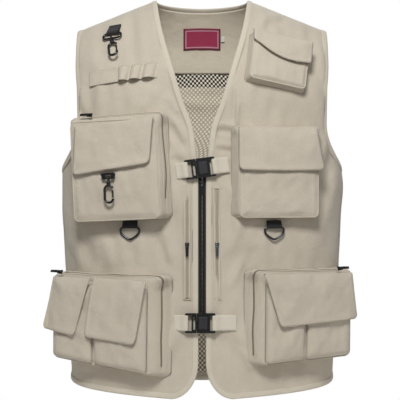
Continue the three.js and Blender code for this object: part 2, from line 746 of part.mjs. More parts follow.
const rightCargoSeat = seatAt(rightCargo.x, rightCargo.aboveHem - body.hemDrop, rightCargo.roll);
addPiece(rightCargoSeat, 'right_cargo_bag', pocketSolid(rightCargoSeat, rightCargo), shellCloth);
addPiece(rightCargoSeat, 'right_cargo_outer_flap', flapSolid(rightCargo, rightCargo.outerFlap), shellCloth);
addPiece(rightCargoSeat, 'right_cargo_inner_flap', flapSolid(rightCargo, rightCargo.innerFlap), shellCloth);

const leftCargoSeat = seatAt(leftCargo.x, leftCargo.aboveHem - body.hemDrop, leftCargo.roll);
addPiece(leftCargoSeat, 'left_cargo_bag', pocketSolid(leftCargoSeat, leftCargo), shellCloth);
addPiece(leftCargoSeat, 'left_cargo_flap', flapSolid(leftCargo, leftCargo.flap), shellCloth);

// On a bag the track runs along the front edge of the top wall, so the slider leans forward there,
// with its nose and pull towards one side.
function addBagSlider(seat, pocket, name, towards) {
  const x = towards * pocket.width / 2 * pocket.sliderShare;
  const lie = new THREE.Matrix4().makeRotationX(rad(bagSlider.lean)).multiply(new THREE.Matrix4().makeBasis(
    new THREE.Vector3(0, towards, 0), new THREE.Vector3(0, 0, -1), new THREE.Vector3(-towards, 0, 0),
  ));
  const y = -pocket.depth * (1 - edgeFall) - bagSlider.out;
  const holder = addSlider(seat, name, x, y, pocket.height / 2 + bagSlider.lift, blackPaint, lie);
  addPull(holder, name, bagPull, blackPaint);
}
addBagSlider(chestSeat, chestBag, 'right_chest_bag', -1);
addBagSlider(rightCargoSeat, rightCargo, 'right_cargo_bag', -1);
addBagSlider(leftCargoSeat, leftCargo, 'left_cargo_bag', 1);

// ---- centre zip ----

function zipHalf(side) {
  const seat = new THREE.Group();
  seat.position.set(0, -body.frontDepth, -mainZip.bottomDrop);
  vest.add(seat);
  const length = mainZip.bottomDrop - body.vDrop;
  const [teeth, edge, wide] = [mainZip.teethHalf, body.openingHalf - cloth.seam, mainZip.tapeHalf];
  const [under, deep] = [cloth.bindingIn + 0.4, cloth.bindingIn + 1.2];
  const section = [
    [0.25, deep], [wide, deep], [wide, under], [edge, under], [edge, 0.9], [teeth + 0.2, 0.9],
    [teeth, -0.3], [0.25, -0.3],
  ];
  const shape = shapeOf(section.map(([x, y]) => [side * x, y]));
  addPiece(seat, side > 0 ? 'left_zip_tape' : 'right_zip_tape', straight(shape, length), zipTape);
}
zipHalf(1);
zipHalf(-1);

const mainSeat = new THREE.Group();
mainSeat.position.set(0, -body.frontDepth - 0.7, -mainZip.sliderDrop);
vest.add(mainSeat);
const mainHolder = addSlider(mainSeat, 'main_zip', 0, 0, 0, blackPaint);
addPull(mainHolder, 'main_zip', mainZip.pull, blackPaint);

// ---- welt pocket zips beside the centre zip ----

function weltZipOn(side, name, material) {
  const seat = seatAt(side * weltZip.x, -weltZip.drop);
  const [half, teeth, top] = [weltZip.wide / 2, weltZip.teeth / 2, -cloth.seam - weltZip.thick];
  const section = [
    [-half, -cloth.seam], [-half, top], [-teeth, top], [-teeth, top - 0.5], [teeth, top - 0.5],
    [teeth, top], [half, top], [half, -cloth.seam],
  ];
  const tape = straight(shapeOf(section), weltZip.length).translate(0, 0, -weltZip.length / 2);
  addPiece(seat, `${name}_tape`, tape, zipTape);
  const z = weltZip.drop - weltZip.sliderDrop;
  const holder = addSlider(seat, name, 0, top - 0.9, z, material);
  addPull(holder, name, weltZip.pull, material);
}
weltZipOn(-1, 'right_welt_zip', blackPaint);
weltZipOn(1, 'left_welt_zip', gunmetal);

// ---- side-release buckles ----

function buckleFemale() {
  const { half, tall, thick, wall, mouth, cavityEnd, slotStart, barWide, windowStart, windowEnd } = buckle;
  const [z, y] = [tall / 2, thick / 2];
  const round = 2.5;
  const outline = [
    [mouth, -z + 0.6], [mouth + 0.6, -z], ...arc(half - round, round - z, round, round, 270, 360, 3),
    ...arc(half - round, z - round, round, round, 0, 90, 3), [mouth + 0.6, z], [mouth, z - 0.6],
  ];
  const shell = facing(shapeOf(outline), thick).translate(0, y, 0);
  const inside = z - buckle.rim;
  const cavity = block(mouth - 1, cavityEnd, -y + wall, y - wall, -inside, inside);
  const windows = [1, -1].map((side) => block(
    windowStart, windowEnd, -y + wall, y - wall, side > 0 ? inside - 1 : -z - 1, side > 0 ? z + 1 : 1 - inside,
  ));
  const slot = block(slotStart, half - barWide, -y - 1, y + 1, -inside, inside);
  const thin = buckle.barThick / 2;
  const front = block(half - barWide - 1, half + 1, -y - 1, -thin, -inside, inside);
  const back = block(half - barWide - 1, half + 1, thin, y + 1, -inside, inside);
  return combine(shell, [], [cavity, ...windows, slot, front, back]);
}

function buckleMale() {
  const { half, tall, thick, mouth, guideHalf, barWide, prongTip } = buckle;
  const [z, y] = [tall / 2, thick / 2 - 0.4];
  const end = mouth - 0.4;
  const round = 2.5;
  const outline = [
    [end, -z + 0.6], [end, z - 0.6], [end - 0.6, z], ...arc(round - half, z - round, round, round, 90, 180, 3),
    ...arc(round - half, round - z, round, round, 180, 270, 3), [end - 0.6, -z],
  ];
  const base = facing(shapeOf(outline), 2 * y).translate(0, y, 0);
  const guide = block(end - 1, prongTip - 2, -1.6, 1.6, -guideHalf, guideHalf);
  const inside = z - buckle.rim;
  const slot = block(barWide - half, -13.5, -y - 1, y + 1, -inside, inside);
  const second = block(-11.3, end - 1.9, -y - 1, y + 1, -inside + 2, inside - 2);
  const thin = buckle.barThick / 2;
  const front = block(-half - 1, barWide - half + 1, -y - 1, -thin, -inside, inside);
  const back = block(-half - 1, barWide - half + 1, thin, y + 1, -inside, inside);
  return combine(base, [guide], [slot, second, front, back]);
}

function buckleProng(side) {
  const { mouth, prongTip, prongIn, prongOut, barbOut, windowStart } = buckle;
  const barb = windowStart + 0.4;
  const outline = [
    [mouth, prongIn], [prongTip, prongIn], [prongTip, prongOut - 1.4], [prongTip - 1.2, barbOut],
    [barb, barbOut], [barb, prongOut], [mouth, prongOut],
  ];
  return facing(shapeOf(outline.map(([x, z]) => [x, side * z])), 3).translate(0, 1.5, 0);
}

// Webbing sewn flat to the front, rising to the buckle and looped round its end bar.
function strapSolid(side, end) {
  const { half, barWide, barThick, standOff, thick } = buckle;
  const t = webbing.thick;
  const [bar, hole] = [barThick / 2 + 0.3, half - barWide - 0.4];
  const flat = standOff + thick / 2 - 0.2;
  const outer = [
    [hole - t, -bar - t], [half + 1.2, -bar - t], [half + 5, flat - 2 * t - 0.4], [end, flat - 2 * t],
    [end, flat], [half + 4, flat], [half + 0.6, bar + t], [hole - t, bar + t],
  ];
  const inner = [[hole, -bar], [half + 0.4, -bar], [half + 0.4, bar], [hole, bar]];
  const flip = (points) => points.map(([x, y]) => [side * x, y]);
  return straight(shapeOf(flip(outer), [flip(inner)]), webbing.wide).translate(0, 0, -webbing.wide / 2);
}

function addBuckle(name, place) {
  const seat = new THREE.Group();
  const out = body.frontDepth + buckle.standOff + buckle.thick / 2;
  seat.position.set(place.x, -out, -place.drop);
  seat.rotation.y = rad(place.roll);
  vest.add(seat);
  addPiece(seat, `${name}_buckle_female`, buckleFemale(), blackPlastic);
  addPiece(seat, `${name}_buckle_male`, buckleMale(), blackPlastic);
  addPiece(seat, `${name}_buckle_prong_top`, buckleProng(1), blackPlastic);
  addPiece(seat, `${name}_buckle_prong_bottom`, buckleProng(-1), blackPlastic);
  addPiece(seat, `${name}_left_webbing`, strapSolid(1, place.rightEnd), creamWebbing);
  addPiece(seat, `${name}_right_webbing`, strapSolid(-1, place.leftEnd), creamWebbing);
}
addBuckle('upper', upperBuckle);
addBuckle('lower', lowerBuckle);

// ---- tool loops ----

function loopStripSolid(seat) {
  const { length, tall, base, skin } = loopStrip;
  const start = -length / 2;
  const outer = [];
  const holes = [];
  const first = length - toolLoops.at(-1).at - toolLoops.at(-1).wide - 4;
  toolLoops.forEach(({ at, wide, rise }) => {
    const [centre, half] = [start + first + at + wide / 2, wide / 2];
    outer.push(...arc(centre, -base - skin, half, rise, 180, 360, 8));
    const [low, high] = [half - skin, rise - skin];
    holes.push([...arc(centre, -base - skin, low, high, 180, 360, 8)]);
  });
  const flat = Array.from({ length: 5 }, (_, i) => [start + i * (first - 4) / 4, -base - skin]);
  const foot = Array.from({ length: 13 }, (_, i) => [start + length * (1 - i / 12), 0]);
  const shape = shapeOf([...flat, ...outer, [start + length, -base - skin], ...foot], holes);
  const strip = straight(shape, tall).translate(0, 0, -tall / 2);
  const spots = strip.attributes.position;
  for (let i = 0; i < spots.count; i++) {
    const reach = clothBehind(seat, spots.getX(i), spots.getZ(i), pocketGap - 0.8, chestBag.backLimit);
    spots.setY(i, spots.getY(i) + reach);
  }
  const merged = mergeVertices(new THREE.BufferGeometry().setAttribute('position', spots), 1e-4);
  merged.computeVertexNormals();
  return merged;
}
const loopSeat = seatAt(loopStrip.x, -loopStrip.drop, loopStrip.roll);
addPiece(loopSeat, 'tool_loop_strip', loopStripSolid(loopSeat), shellCloth);

// ---- rings and snap hooks ----

// A webbing loop round a bar that lies along x, with a tongue sewn to the cloth above it.
function webbingTab(barY, barHalf, wide, up) {
  const t = webbing.thick;
  const gap = barHalf * Math.SQRT2 + cloth.seam;
  const reach = gap + t;
  const outer = [
    [barY - reach, -reach], [barY + reach, -reach], [barY + reach, gap], [-0.6, reach + 2.4], [-0.6, up],
    [-0.6 - 1.6 * t, up], [barY - reach, reach + 0.6],
  ];
  const inner = [[barY - gap, -gap], [barY + gap, -gap], [barY + gap, gap], [barY - gap, gap]];
  return across(shapeOf(outer, [inner]), wide);
}

function dRingSolid(barY, { wide, tall, bar }) {
  const [half, low] = [wide / 2, bar / 2 - tall];
  const ring = (inset) => [
    [-half + inset, bar / 2 - inset], [half - inset, bar / 2 - inset], [half - inset, low * 0.55],
    [bar * 0.9, low + inset], [-bar * 0.9, low + inset], [-half + inset, low * 0.55],
  ];
  return facing(shapeOf(ring(0), [ring(bar)]), bar).translate(0, barY + bar / 2, 0);
}

function addDRing(side, name) {
  const top = chestBag.drop + chestBag.height / 2 + dRing.belowBag;
  const seat = seatAt(side * dRing.x, -top - dRing.bar);
  const barY = -dRing.bar / 2 - dRing.standOff;
  addPiece(seat, `${name}_d_ring_tab`, webbingTab(barY, dRing.bar / 2, dRing.tabWide, dRing.tabTall), blackWebbing);
  addPiece(seat, `${name}_d_ring`, dRingSolid(barY, dRing), gunmetal);
}
addDRing(-1, 'right');
addDRing(1, 'left');

// A swivel snap hook hanging from its eye at the origin; the gate closes its right side.
function snapHook() {
  const { wide, long, bar, thick, eye, eyeHole, neck } = snap;
  const circle = (r) => arc(0, 0, r, r, 0, 360 - 36, 9);
  const loop = across(shapeOf(circle(eye), [circle(eyeHole)]), 3.2);
  const profile = [[0, -neck - 3.4], [2.6, -neck - 3.4], [3.5, -neck - 1.4], [3.5, -4.6], [2.4, -3.2], [0, -3.2]];
  const spindle = new THREE.LatheGeometry(profile.map(([x, y]) => new THREE.Vector2(x, y)), 10);
  const top = -neck - 2.4;
  const half = wide / 2;
  const oval = (inset) => [
    ...arc(0, top - half, half - inset, half - inset, 0, 180, 8),
    ...arc(0, top - long + half, half - inset, half - inset, 180, 360, 8),
  ];
  const ring = facing(shapeOf(oval(0), [oval(bar)]), thick).translate(0, thick / 2, 0);
  const mouth = block(half - bar - 1, half + 1, -thick, thick, top - long + half, top - half);
  return combine(ring, [loop, spindle.rotateX(Math.PI / 2)], [mouth]);
}

// The gate's corners rise as it is pressed in, so it stands this far from both ends of the mouth.
const gateGap = 0.8;

function snapGate() {
  const { wide, long, bar, thick, neck } = snap;
  const [half, top] = [wide / 2, -neck - 2.4];
  const [low, high] = [top - long + half + gateGap, top - half - gateGap];
  return block(half - bar, half - bar + 2.2, -thick / 2 + 0.5, thick / 2 - 0.5, low, high);
}

const clipSeat = seatAt(shoulderClip.x, -shoulderClip.drop - shoulderClip.tabTall, shoulderClip.roll);
const ringY = -snap.eye - 0.9;
const clipRing = { wide: shoulderClip.ringWide, tall: shoulderClip.ringTall, bar: 2.4 };

function ovalRing(barY, { wide, tall, bar }) {
  const round = tall / 2;
  const oval = (inset) => [
    ...arc(wide / 2 - round, bar / 2 - round, round - inset, round - inset, -90, 90, 6),
    ...arc(round - wide / 2, bar / 2 - round, round - inset, round - inset, 90, 270, 6),
  ];
  return facing(shapeOf(oval(0), [oval(bar)]), bar).translate(0, barY + bar / 2, 0);
}
addPiece(
  clipSeat, 'shoulder_clip_tab', webbingTab(ringY, clipRing.bar / 2, shoulderClip.tabWide, shoulderClip.tabTall),
  blackWebbing,
);
addPiece(clipSeat, 'shoulder_clip_ring', ovalRing(ringY, clipRing), gunmetal);
const shoulderHook = new THREE.Group();
shoulderHook.position.set(0, ringY, clipRing.bar - clipRing.tall);
clipSeat.add(shoulderHook);
addPiece(shoulderHook, 'shoulder_clip_hook', snapHook(), blackPaint);
addPiece(shoulderHook, 'shoulder_clip_gate', snapGate(), blackPaint);

// The pocket clip's tab is a moulded staple on the bag's front, with a bar for the hook's eye.
function stapleTab() {
  const { tabWide, tabTall } = pocketClip;
  const [half, bar] = [tabWide / 2, 2.2];
  const plate = [
    [-half, 0], [-half * 0.8, -tabTall], [half * 0.8, -tabTall], [half, 0], [half * 0.7, 2], [-half * 0.7, 2],
  ];
  const hole = [[-4.4, -1.6], [4.4, -1.6], [4.4, bar - tabTall], [-4.4, bar - tabTall]];
  const front = facing(shapeOf(plate, [hole]), 2.4).translate(0, -ringOut + 1.2, 0);
  const foot = block(-half * 0.6, half * 0.6, -ringOut + 0.4, -0.5, -1.2, 1.4);
  return combine(front, [foot]);
}
const ringOut = snap.eye + 0.9;
const pocketClipSeat = new THREE.Group();
pocketClipSeat.position.set(pocketClip.x, -chestBag.depth, -pocketClip.drop - 4);
chestSeat.add(pocketClipSeat);
addPiece(pocketClipSeat, 'pocket_clip_tab', stapleTab(), blackWebbing);
const pocketHook = new THREE.Group();
pocketHook.position.set(0, -ringOut, 1.1 - pocketClip.tabTall);
pocketClipSeat.add(pocketHook);
addPiece(pocketHook, 'pocket_clip_hook', snapHook(), blackPaint);
addPiece(pocketHook, 'pocket_clip_gate', snapGate(), blackPaint);

export default vest;
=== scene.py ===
# Fishing vest: cloth panels, bags, straps, zips and clips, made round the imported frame.
# Lengths here are millimetres until a mesh is written. -Y is the front, +X the wearer's left.
import json
import math

import bpy
import numpy as np
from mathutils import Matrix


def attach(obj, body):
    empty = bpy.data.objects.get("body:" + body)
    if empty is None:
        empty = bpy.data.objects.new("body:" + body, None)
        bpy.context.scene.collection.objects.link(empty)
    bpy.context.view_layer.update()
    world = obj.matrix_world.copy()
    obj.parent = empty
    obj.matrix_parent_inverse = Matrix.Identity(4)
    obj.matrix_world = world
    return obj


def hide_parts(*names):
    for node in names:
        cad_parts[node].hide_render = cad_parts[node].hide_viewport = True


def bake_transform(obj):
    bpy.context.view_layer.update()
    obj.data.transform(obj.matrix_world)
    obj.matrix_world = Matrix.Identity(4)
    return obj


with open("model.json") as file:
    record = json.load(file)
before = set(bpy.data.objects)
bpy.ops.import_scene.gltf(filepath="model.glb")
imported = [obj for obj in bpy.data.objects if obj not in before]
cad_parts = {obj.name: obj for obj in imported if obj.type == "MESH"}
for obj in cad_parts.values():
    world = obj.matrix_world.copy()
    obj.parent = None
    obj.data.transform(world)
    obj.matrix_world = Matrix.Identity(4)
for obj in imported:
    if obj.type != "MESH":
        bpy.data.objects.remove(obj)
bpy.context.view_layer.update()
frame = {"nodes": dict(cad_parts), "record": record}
nodes = frame["nodes"]
bodyOf = {n: b for b, group in frame["record"]["behaviour"]["bodies"].items() for n in group}
mm = 0.001

# camera, light and floor, in metres and watts
studio = {
    "distance": 2.5, "aimX": -0.0033, "aimZ": -0.328, "lens": 136.4, "sensor": 36,
    "sky": 0.24, "skyTint": (1.0, 0.99, 0.975, 1.0), "aim": (0, 0, -0.3), "softSize": 1.6,
    "keyPower": 29.0, "keySize": 0.5, "keyPlace": (-0.1, -1.6, 0.95),
    "fillPower": 4.0, "fillPlace": (1.6, -2.2, 0.0), "backPower": 30.0, "backPlace": (0.3, 2.2, 1.4),
    "floorZ": -0.74, "floorRadius": 0.6, "floorSides": 96,
}


def lookAt(obj, place, target):
    # turns the object's -Z from its place to the target: rotation = track(target - place)
    obj.location = place
    way = [t - p for t, p in zip(target, place)]
    length = math.sqrt(sum(w * w for w in way))
    obj.rotation_euler = (math.acos(-way[2] / length), 0, math.atan2(way[1], way[0]) - math.pi / 2)


camera = bpy.data.objects.new("camera", bpy.data.cameras.new("camera"))
camera.data.sensor_width = studio["sensor"]
camera.data.lens = studio["lens"]
camera.location = (studio["aimX"], -studio["distance"], studio["aimZ"])
camera.rotation_euler = (math.pi / 2, 0, 0)
bpy.context.collection.objects.link(camera)
bpy.context.scene.camera = camera
bpy.context.scene.view_settings.view_transform = "Standard"


def addLamp(name, power, place, size):
    # a square soft box that looks at the vest's chest
    lamp = bpy.data.objects.new(name, bpy.data.lights.new(name, "AREA"))
    lamp.data.energy, lamp.data.size = power, size
    lookAt(lamp, place, studio["aim"])
    bpy.context.collection.objects.link(lamp)


addLamp("key", studio["keyPower"], studio["keyPlace"], studio["keySize"])
addLamp("fill", studio["fillPower"], studio["fillPlace"], studio["softSize"])
addLamp("back", studio["backPower"], studio["backPlace"], studio["softSize"])
print("stage: camera and lights")


def paint(hexText):
    # sRGB hex to linear: ((c + 0.055) / 1.055) ^ 2.4, or c / 12.92 near black
    shades = [int(hexText[i:i + 2], 16) / 255 for i in (1, 3, 5)]
    return [s / 12.92 if s < 0.04045 else ((s + 0.055) / 1.055) ** 2.4 for s in shades] + [1.0]


def addNode(tree, kind, inputs=None, **settings):
    # one node with its settings; an input is a value, or a socket to link from
    made = tree.nodes.new(kind)
    for key, value in settings.items():
        setattr(made, key, value)
    for key, value in (inputs or {}).items():
        if isinstance(value, bpy.types.NodeSocket):
            tree.links.new(value, made.inputs[key])
        else:
            made.inputs[key].default_value = value
    return made


def startMaterial(name, roughness, metallic=0.0, **constants):
    # a principled shader with its constants set on its own sockets
    material = bpy.data.materials.new(name)
    material.use_nodes = True
    tree = material.node_tree
    shader = tree.nodes["Principled BSDF"]
    shader.inputs["Roughness"].default_value = roughness
    shader.inputs["Metallic"].default_value = metallic
    for key, value in constants.items():
        shader.inputs[key.replace("_", " ")].default_value = value
    return material, tree, shader


def waveScale(period):
    # a band texture turns 20 * scale * x radians, so scale = 2 pi / (20 * period)
    return 2 * math.pi / (20 * period * mm)


def noiseScale(size):
    # a noise texture has one patch to a unit, so scale = 1 / patch size
    return 1 / (size * mm)


# patches of dye, slubs of thread and soft creases in millimetres; real threads of 0.3 mm are too
# fine to show, so the weave is drawn at 1.1 mm
clothLook = {"dye": 62.5, "slub": 1.923, "crease": 13.333, "sheen": 0.25, "weave": 0.25}


def clothMaterial(name, light, dark, thread=1.1, crumple=0.35, twill=False):
    # woven cotton blend: matt, with faint mottling from the dye and crossing threads in the bump
    material, tree, shader = startMaterial(name, 0.92, Sheen_Weight=clothLook["sheen"], Sheen_Roughness=0.5)
    place = addNode(tree, "ShaderNodeTexCoord")
    broad = addNode(tree, "ShaderNodeTexNoise", {
        "Vector": place.outputs["Object"], "Scale": noiseScale(clothLook["dye"]),
        "Detail": 3.0, "Roughness": 0.6})
    fibre = addNode(tree, "ShaderNodeTexNoise", {
        "Vector": place.outputs["Object"], "Scale": noiseScale(clothLook["slub"]), "Detail": 2.0})
    shade = addNode(tree, "ShaderNodeMath", {
        0: broad.outputs["Fac"], 1: fibre.outputs["Fac"]}, operation="MULTIPLY")
    ramp = addNode(tree, "ShaderNodeMapRange", {
        "Value": shade.outputs[0], "From Min": 0.15, "From Max": 0.65})
    colour = addNode(tree, "ShaderNodeMix", {
        "Factor": ramp.outputs["Result"], 6: paint(dark), 7: paint(light)}, data_type="RGBA")
    tree.links.new(colour.outputs[2], shader.inputs["Base Color"])
    warp = addNode(tree, "ShaderNodeTexWave", {
        "Vector": place.outputs["UV"], "Scale": waveScale(thread), "Distortion": 0.6, "Detail": 1.0},
        bands_direction="DIAGONAL" if twill else "X")
    weft = addNode(tree, "ShaderNodeTexWave", {
        "Vector": place.outputs["UV"], "Scale": waveScale(thread), "Distortion": 0.6, "Detail": 1.0},
        bands_direction="Y")
    weave = addNode(tree, "ShaderNodeMath", {
        0: warp.outputs["Fac"], 1: weft.outputs["Fac"]}, operation="MULTIPLY")
    folds = addNode(tree, "ShaderNodeTexNoise", {
        "Vector": place.outputs["Object"], "Scale": noiseScale(clothLook["crease"]), "Detail": 3.0,
        "Distortion": 0.5})
    soft = addNode(tree, "ShaderNodeBump", {
        "Height": folds.outputs["Fac"], "Strength": crumple, "Distance": 0.003})
    fine = addNode(tree, "ShaderNodeBump", {
        "Height": weave.outputs[0], "Strength": clothLook["weave"], "Distance": 0.0004,
        "Normal": soft.outputs["Normal"]})
    tree.links.new(fine.outputs["Normal"], shader.inputs["Normal"])
    return material


wearPatch = 6.25  # millimetres from one rubbed spot to the next


def plainMaterial(name, colour, roughness, metallic=0.0, grain=1.1111, bump=0.12, wear=None, **constants):
    # a moulded, enamelled or plated finish: fine grain in the bump, and a second shade in patches
    material, tree, shader = startMaterial(name, roughness, metallic, **constants)
    place = addNode(tree, "ShaderNodeTexCoord")
    patch = addNode(tree, "ShaderNodeTexNoise", {
        "Vector": place.outputs["Object"], "Scale": noiseScale(wearPatch), "Detail": 3.0})
    mix = addNode(tree, "ShaderNodeMix", {
        "Factor": patch.outputs["Fac"], 6: paint(colour), 7: paint(wear or colour)}, data_type="RGBA")
    tree.links.new(mix.outputs[2], shader.inputs["Base Color"])
    tone = addNode(tree, "ShaderNodeMapRange", {
        "Value": patch.outputs["Fac"], "To Min": roughness * 0.8, "To Max": roughness * 1.25})
    tree.links.new(tone.outputs["Result"], shader.inputs["Roughness"])
    fine = addNode(tree, "ShaderNodeTexNoise", {
        "Vector": place.outputs["Object"], "Scale": noiseScale(grain), "Detail": 2.0})
    raised = addNode(tree, "ShaderNodeBump", {
        "Height": fine.outputs["Fac"], "Strength": bump, "Distance": 0.0003})
    tree.links.new(raised.outputs["Normal"], shader.inputs["Normal"])
    return material


def webbingMaterial(name, light, dark, rib=1.6, roughness=0.8):
    # flat woven strap: raised ribs across it and a tighter edge, drawn as fine light and dark rows: painted
    # highlight on the ribs and painted shade between them
    material, tree, shader = startMaterial(name, roughness, Sheen_Weight=0.2)
    place = addNode(tree, "ShaderNodeTexCoord")
    across = addNode(tree, "ShaderNodeTexWave", {
        "Vector": place.outputs["UV"], "Scale": waveScale(rib), "Distortion": 0.4}, bands_direction="X")
    along = addNode(tree, "ShaderNodeTexWave", {
        "Vector": place.outputs["UV"], "Scale": waveScale(rib * 0.8)}, bands_direction="Y")
    weave = addNode(tree, "ShaderNodeMath", {
        0: across.outputs["Fac"], 1: along.outputs["Fac"]}, operation="MULTIPLY")
    # painted highlight and shade: the colour follows the ribs' height, lighter on top and darker in the dips
    mix = addNode(tree, "ShaderNodeMix", {
        "Factor": weave.outputs[0], 6: paint(dark), 7: paint(light)}, data_type="RGBA")
    tree.links.new(mix.outputs[2], shader.inputs["Base Color"])
    raised = addNode(tree, "ShaderNodeBump", {
        "Height": weave.outputs[0], "Strength": 0.5, "Distance": 0.0005})
    tree.links.new(raised.outputs["Normal"], shader.inputs["Normal"])
    return material


# hole spacing across and along, where the vent's painted shadow in the holes ends, and the heights over which
# painted shade in the holes deepens towards the lining's foot
knit = {"pitch": 7.2, "row": 4.0, "ventShadowFoot": -134.0, "ventShadowSoft": 3.0, "footShadeLow": -0.62, "footShadeHigh": -0.5}


def meshMaterial(name):
    # knitted polyester mesh: round holes in staggered rows, painted on, not cut: near black painted shadow
    # where the vent is open behind them, and below the vent the cloth behind in painted shade
    # hole = cos(2 pi (u / pitch + v / 2 row)) + cos(2 pi (u / pitch - v / 2 row))
    material, tree, shader = startMaterial(name, 0.85, Sheen_Weight=0.2)
    place = addNode(tree, "ShaderNodeTexCoord")
    waves = []
    for side in (1, -1):
        turn = addNode(tree, "ShaderNodeVectorMath", {0: place.outputs["UV"], 1: (
            2000 * math.pi / knit["pitch"], side * 1000 * math.pi / knit["row"], 0)}, operation="DOT_PRODUCT")
        waves.append(addNode(tree, "ShaderNodeMath", {0: turn.outputs["Value"]}, operation="COSINE"))
    both = addNode(tree, "ShaderNodeMath", {0: waves[0].outputs[0], 1: waves[1].outputs[0]}, operation="ADD")
    hole = addNode(tree, "ShaderNodeMapRange", {
        "Value": both.outputs[0], "From Min": -0.35, "From Max": 0.15}, interpolation_type="SMOOTHSTEP")
    height = addNode(tree, "ShaderNodeSeparateXYZ", {"Vector": place.outputs["Object"]})
    # painted shadow of the open vent: a mask that covers the holes above the vent's foot
    band = addNode(tree, "ShaderNodeMapRange", {
        "Value": height.outputs["Z"], "From Min": (knit["ventShadowFoot"] - knit["ventShadowSoft"]) * mm,
        "From Max": knit["ventShadowFoot"] * mm})
    # painted shade: the cloth seen through the holes, darker towards the lining's foot
    fade = addNode(tree, "ShaderNodeMapRange", {
        "Value": height.outputs["Z"], "From Min": knit["footShadeLow"], "From Max": knit["footShadeHigh"],
        "To Min": 1.0, "To Max": 0.0})
    holeShadeByHeight = addNode(tree, "ShaderNodeMix", {
        "Factor": fade.outputs["Result"], 6: paint("#b9ae98"), 7: paint("#6a6250")}, data_type="RGBA")
    # near black painted shadow in the holes where the vent is open behind the mesh
    behind = addNode(tree, "ShaderNodeMix", {
        "Factor": band.outputs["Result"], 6: holeShadeByHeight.outputs[2], 7: paint("#15130e")}, data_type="RGBA")
    colour = addNode(tree, "ShaderNodeMix", {
        "Factor": hole.outputs["Result"], 6: paint("#efe8d8"), 7: behind.outputs[2]}, data_type="RGBA")
    tree.links.new(colour.outputs[2], shader.inputs["Base Color"])
    raised = addNode(tree, "ShaderNodeBump", {
        "Height": hole.outputs["Result"], "Strength": 0.8, "Distance": 0.0012}, invert=True)
    tree.links.new(raised.outputs["Normal"], shader.inputs["Normal"])
    return material


def labelMaterial(name, spec):
    # woven satin: crimson ground with a dark rim and a pale line inside it, and no lettering;
    # the ramp reads the distance in from the edge, as a share of 10 mm
    material, tree, shader = startMaterial(name, 0.55, Sheen_Weight=0.3)
    place = addNode(tree, "ShaderNodeTexCoord")
    parts = addNode(tree, "ShaderNodeSeparateXYZ", {"Vector": place.outputs["UV"]})
    reach = []
    for axis, half in (("X", spec["width"] / 2), ("Y", spec["height"] / 2)):
        size = addNode(tree, "ShaderNodeMath", {0: parts.outputs[axis]}, operation="ABSOLUTE")
        reach.append(addNode(tree, "ShaderNodeMath", {0: half * mm, 1: size.outputs[0]},
                             operation="SUBTRACT"))
    edge = addNode(tree, "ShaderNodeMath", {0: reach[0].outputs[0], 1: reach[1].outputs[0]},
                   operation="MINIMUM")
    rows = addNode(tree, "ShaderNodeValToRGB", {"Fac": addNode(tree, "ShaderNodeMath", {
        0: edge.outputs[0], 1: spec["ramp"] * mm}, operation="DIVIDE").outputs[0]})
    rows.color_ramp.interpolation = "CONSTANT"
    rimEnd, lineEnd = spec["rim"] / spec["ramp"], (spec["rim"] + spec["line"]) / spec["ramp"]
    bands = [(0.0, "#7a1a35"), (rimEnd, "#cf93a6"), (lineEnd, "#a62a50")]
    rows.color_ramp.elements[0].position, rows.color_ramp.elements[0].color = 0.0, paint(bands[0][1])
    rows.color_ramp.elements[1].position, rows.color_ramp.elements[1].color = bands[1][0], paint(bands[1][1])
    rows.color_ramp.elements.new(bands[2][0]).color = paint(bands[2][1])
    tree.links.new(rows.outputs["Color"], shader.inputs["Base Color"])
    weave = addNode(tree, "ShaderNodeTexWave", {
        "Vector": place.outputs["UV"], "Scale": waveScale(0.8)}, bands_direction="Y")
    raised = addNode(tree, "ShaderNodeBump", {
        "Height": weave.outputs["Fac"], "Strength": 0.4, "Distance": 0.0003})
    tree.links.new(raised.outputs["Normal"], shader.inputs["Normal"])
    return material


labelSpec = {"width": 64.0, "height": 36.0, "top": 36.0, "thick": 0.8, "depth": 3.4, "arch": 1.2,
             "rim": 3.2, "line": 2.0, "ramp": 10.0}
# plain poplin, matt and warm; its reverse, a shade paler where less light and dirt reach it
shellCloth = clothMaterial("cottonBlendPoplin", "#d1c8b8", "#c3b9a8")
innerCloth = clothMaterial("poplinReverse", "#e3dac8", "#d6ccb9")
# cream twill tapes, whose slanted ribs catch a little more light than the poplin
bindingCloth = clothMaterial("twillBindingTape", "#d8d0c0", "#ccc3b2", thread=1.4, crumple=0.15, twill=True)
creamStrap = clothMaterial("creamStrapTwill", "#dcd5c6", "#cfc7b7", thread=1.4, crumple=0.15, twill=True)
stitchThread = clothMaterial("polyesterThread", "#d8cfbd", "#cbc1ad", thread=0.6, crumple=0.0)  # tone on tone
# the mesh's holes show painted shadow and painted shade of what lies behind them
knitMesh = meshMaterial("knittedPolyesterMesh")  # airy net, seen as a lattice of dark holes
labelSatin = labelMaterial("wovenSatinLabel", labelSpec)  # smooth crimson weave
whiteTape = clothMaterial("whiteSatinTape", "#f2f1ec", "#e6e4dd", thread=0.8, crumple=0.1)  # bright, thin
# nylon webbing and zip tapes: fine rows of painted highlight and shade, dull black, or stone dyed to match
# the shell
blackWebbing = webbingMaterial("blackNylonWebbing", "#2a2a2c", "#0e0e10")
zipTape = webbingMaterial("blackZipTape", "#1d1d1f", "#0c0c0e", rib=1.0)
beigeTape = webbingMaterial("beigeZipTape", "#c2b8a5", "#a89e8b", rib=1.0)
# the beige tape darkened with painted shade, for the zips on the bags' walls
beigeTapeShaded = webbingMaterial("beigeZipTapeShaded", "#978d7a", "#7d7463", rib=1.0)
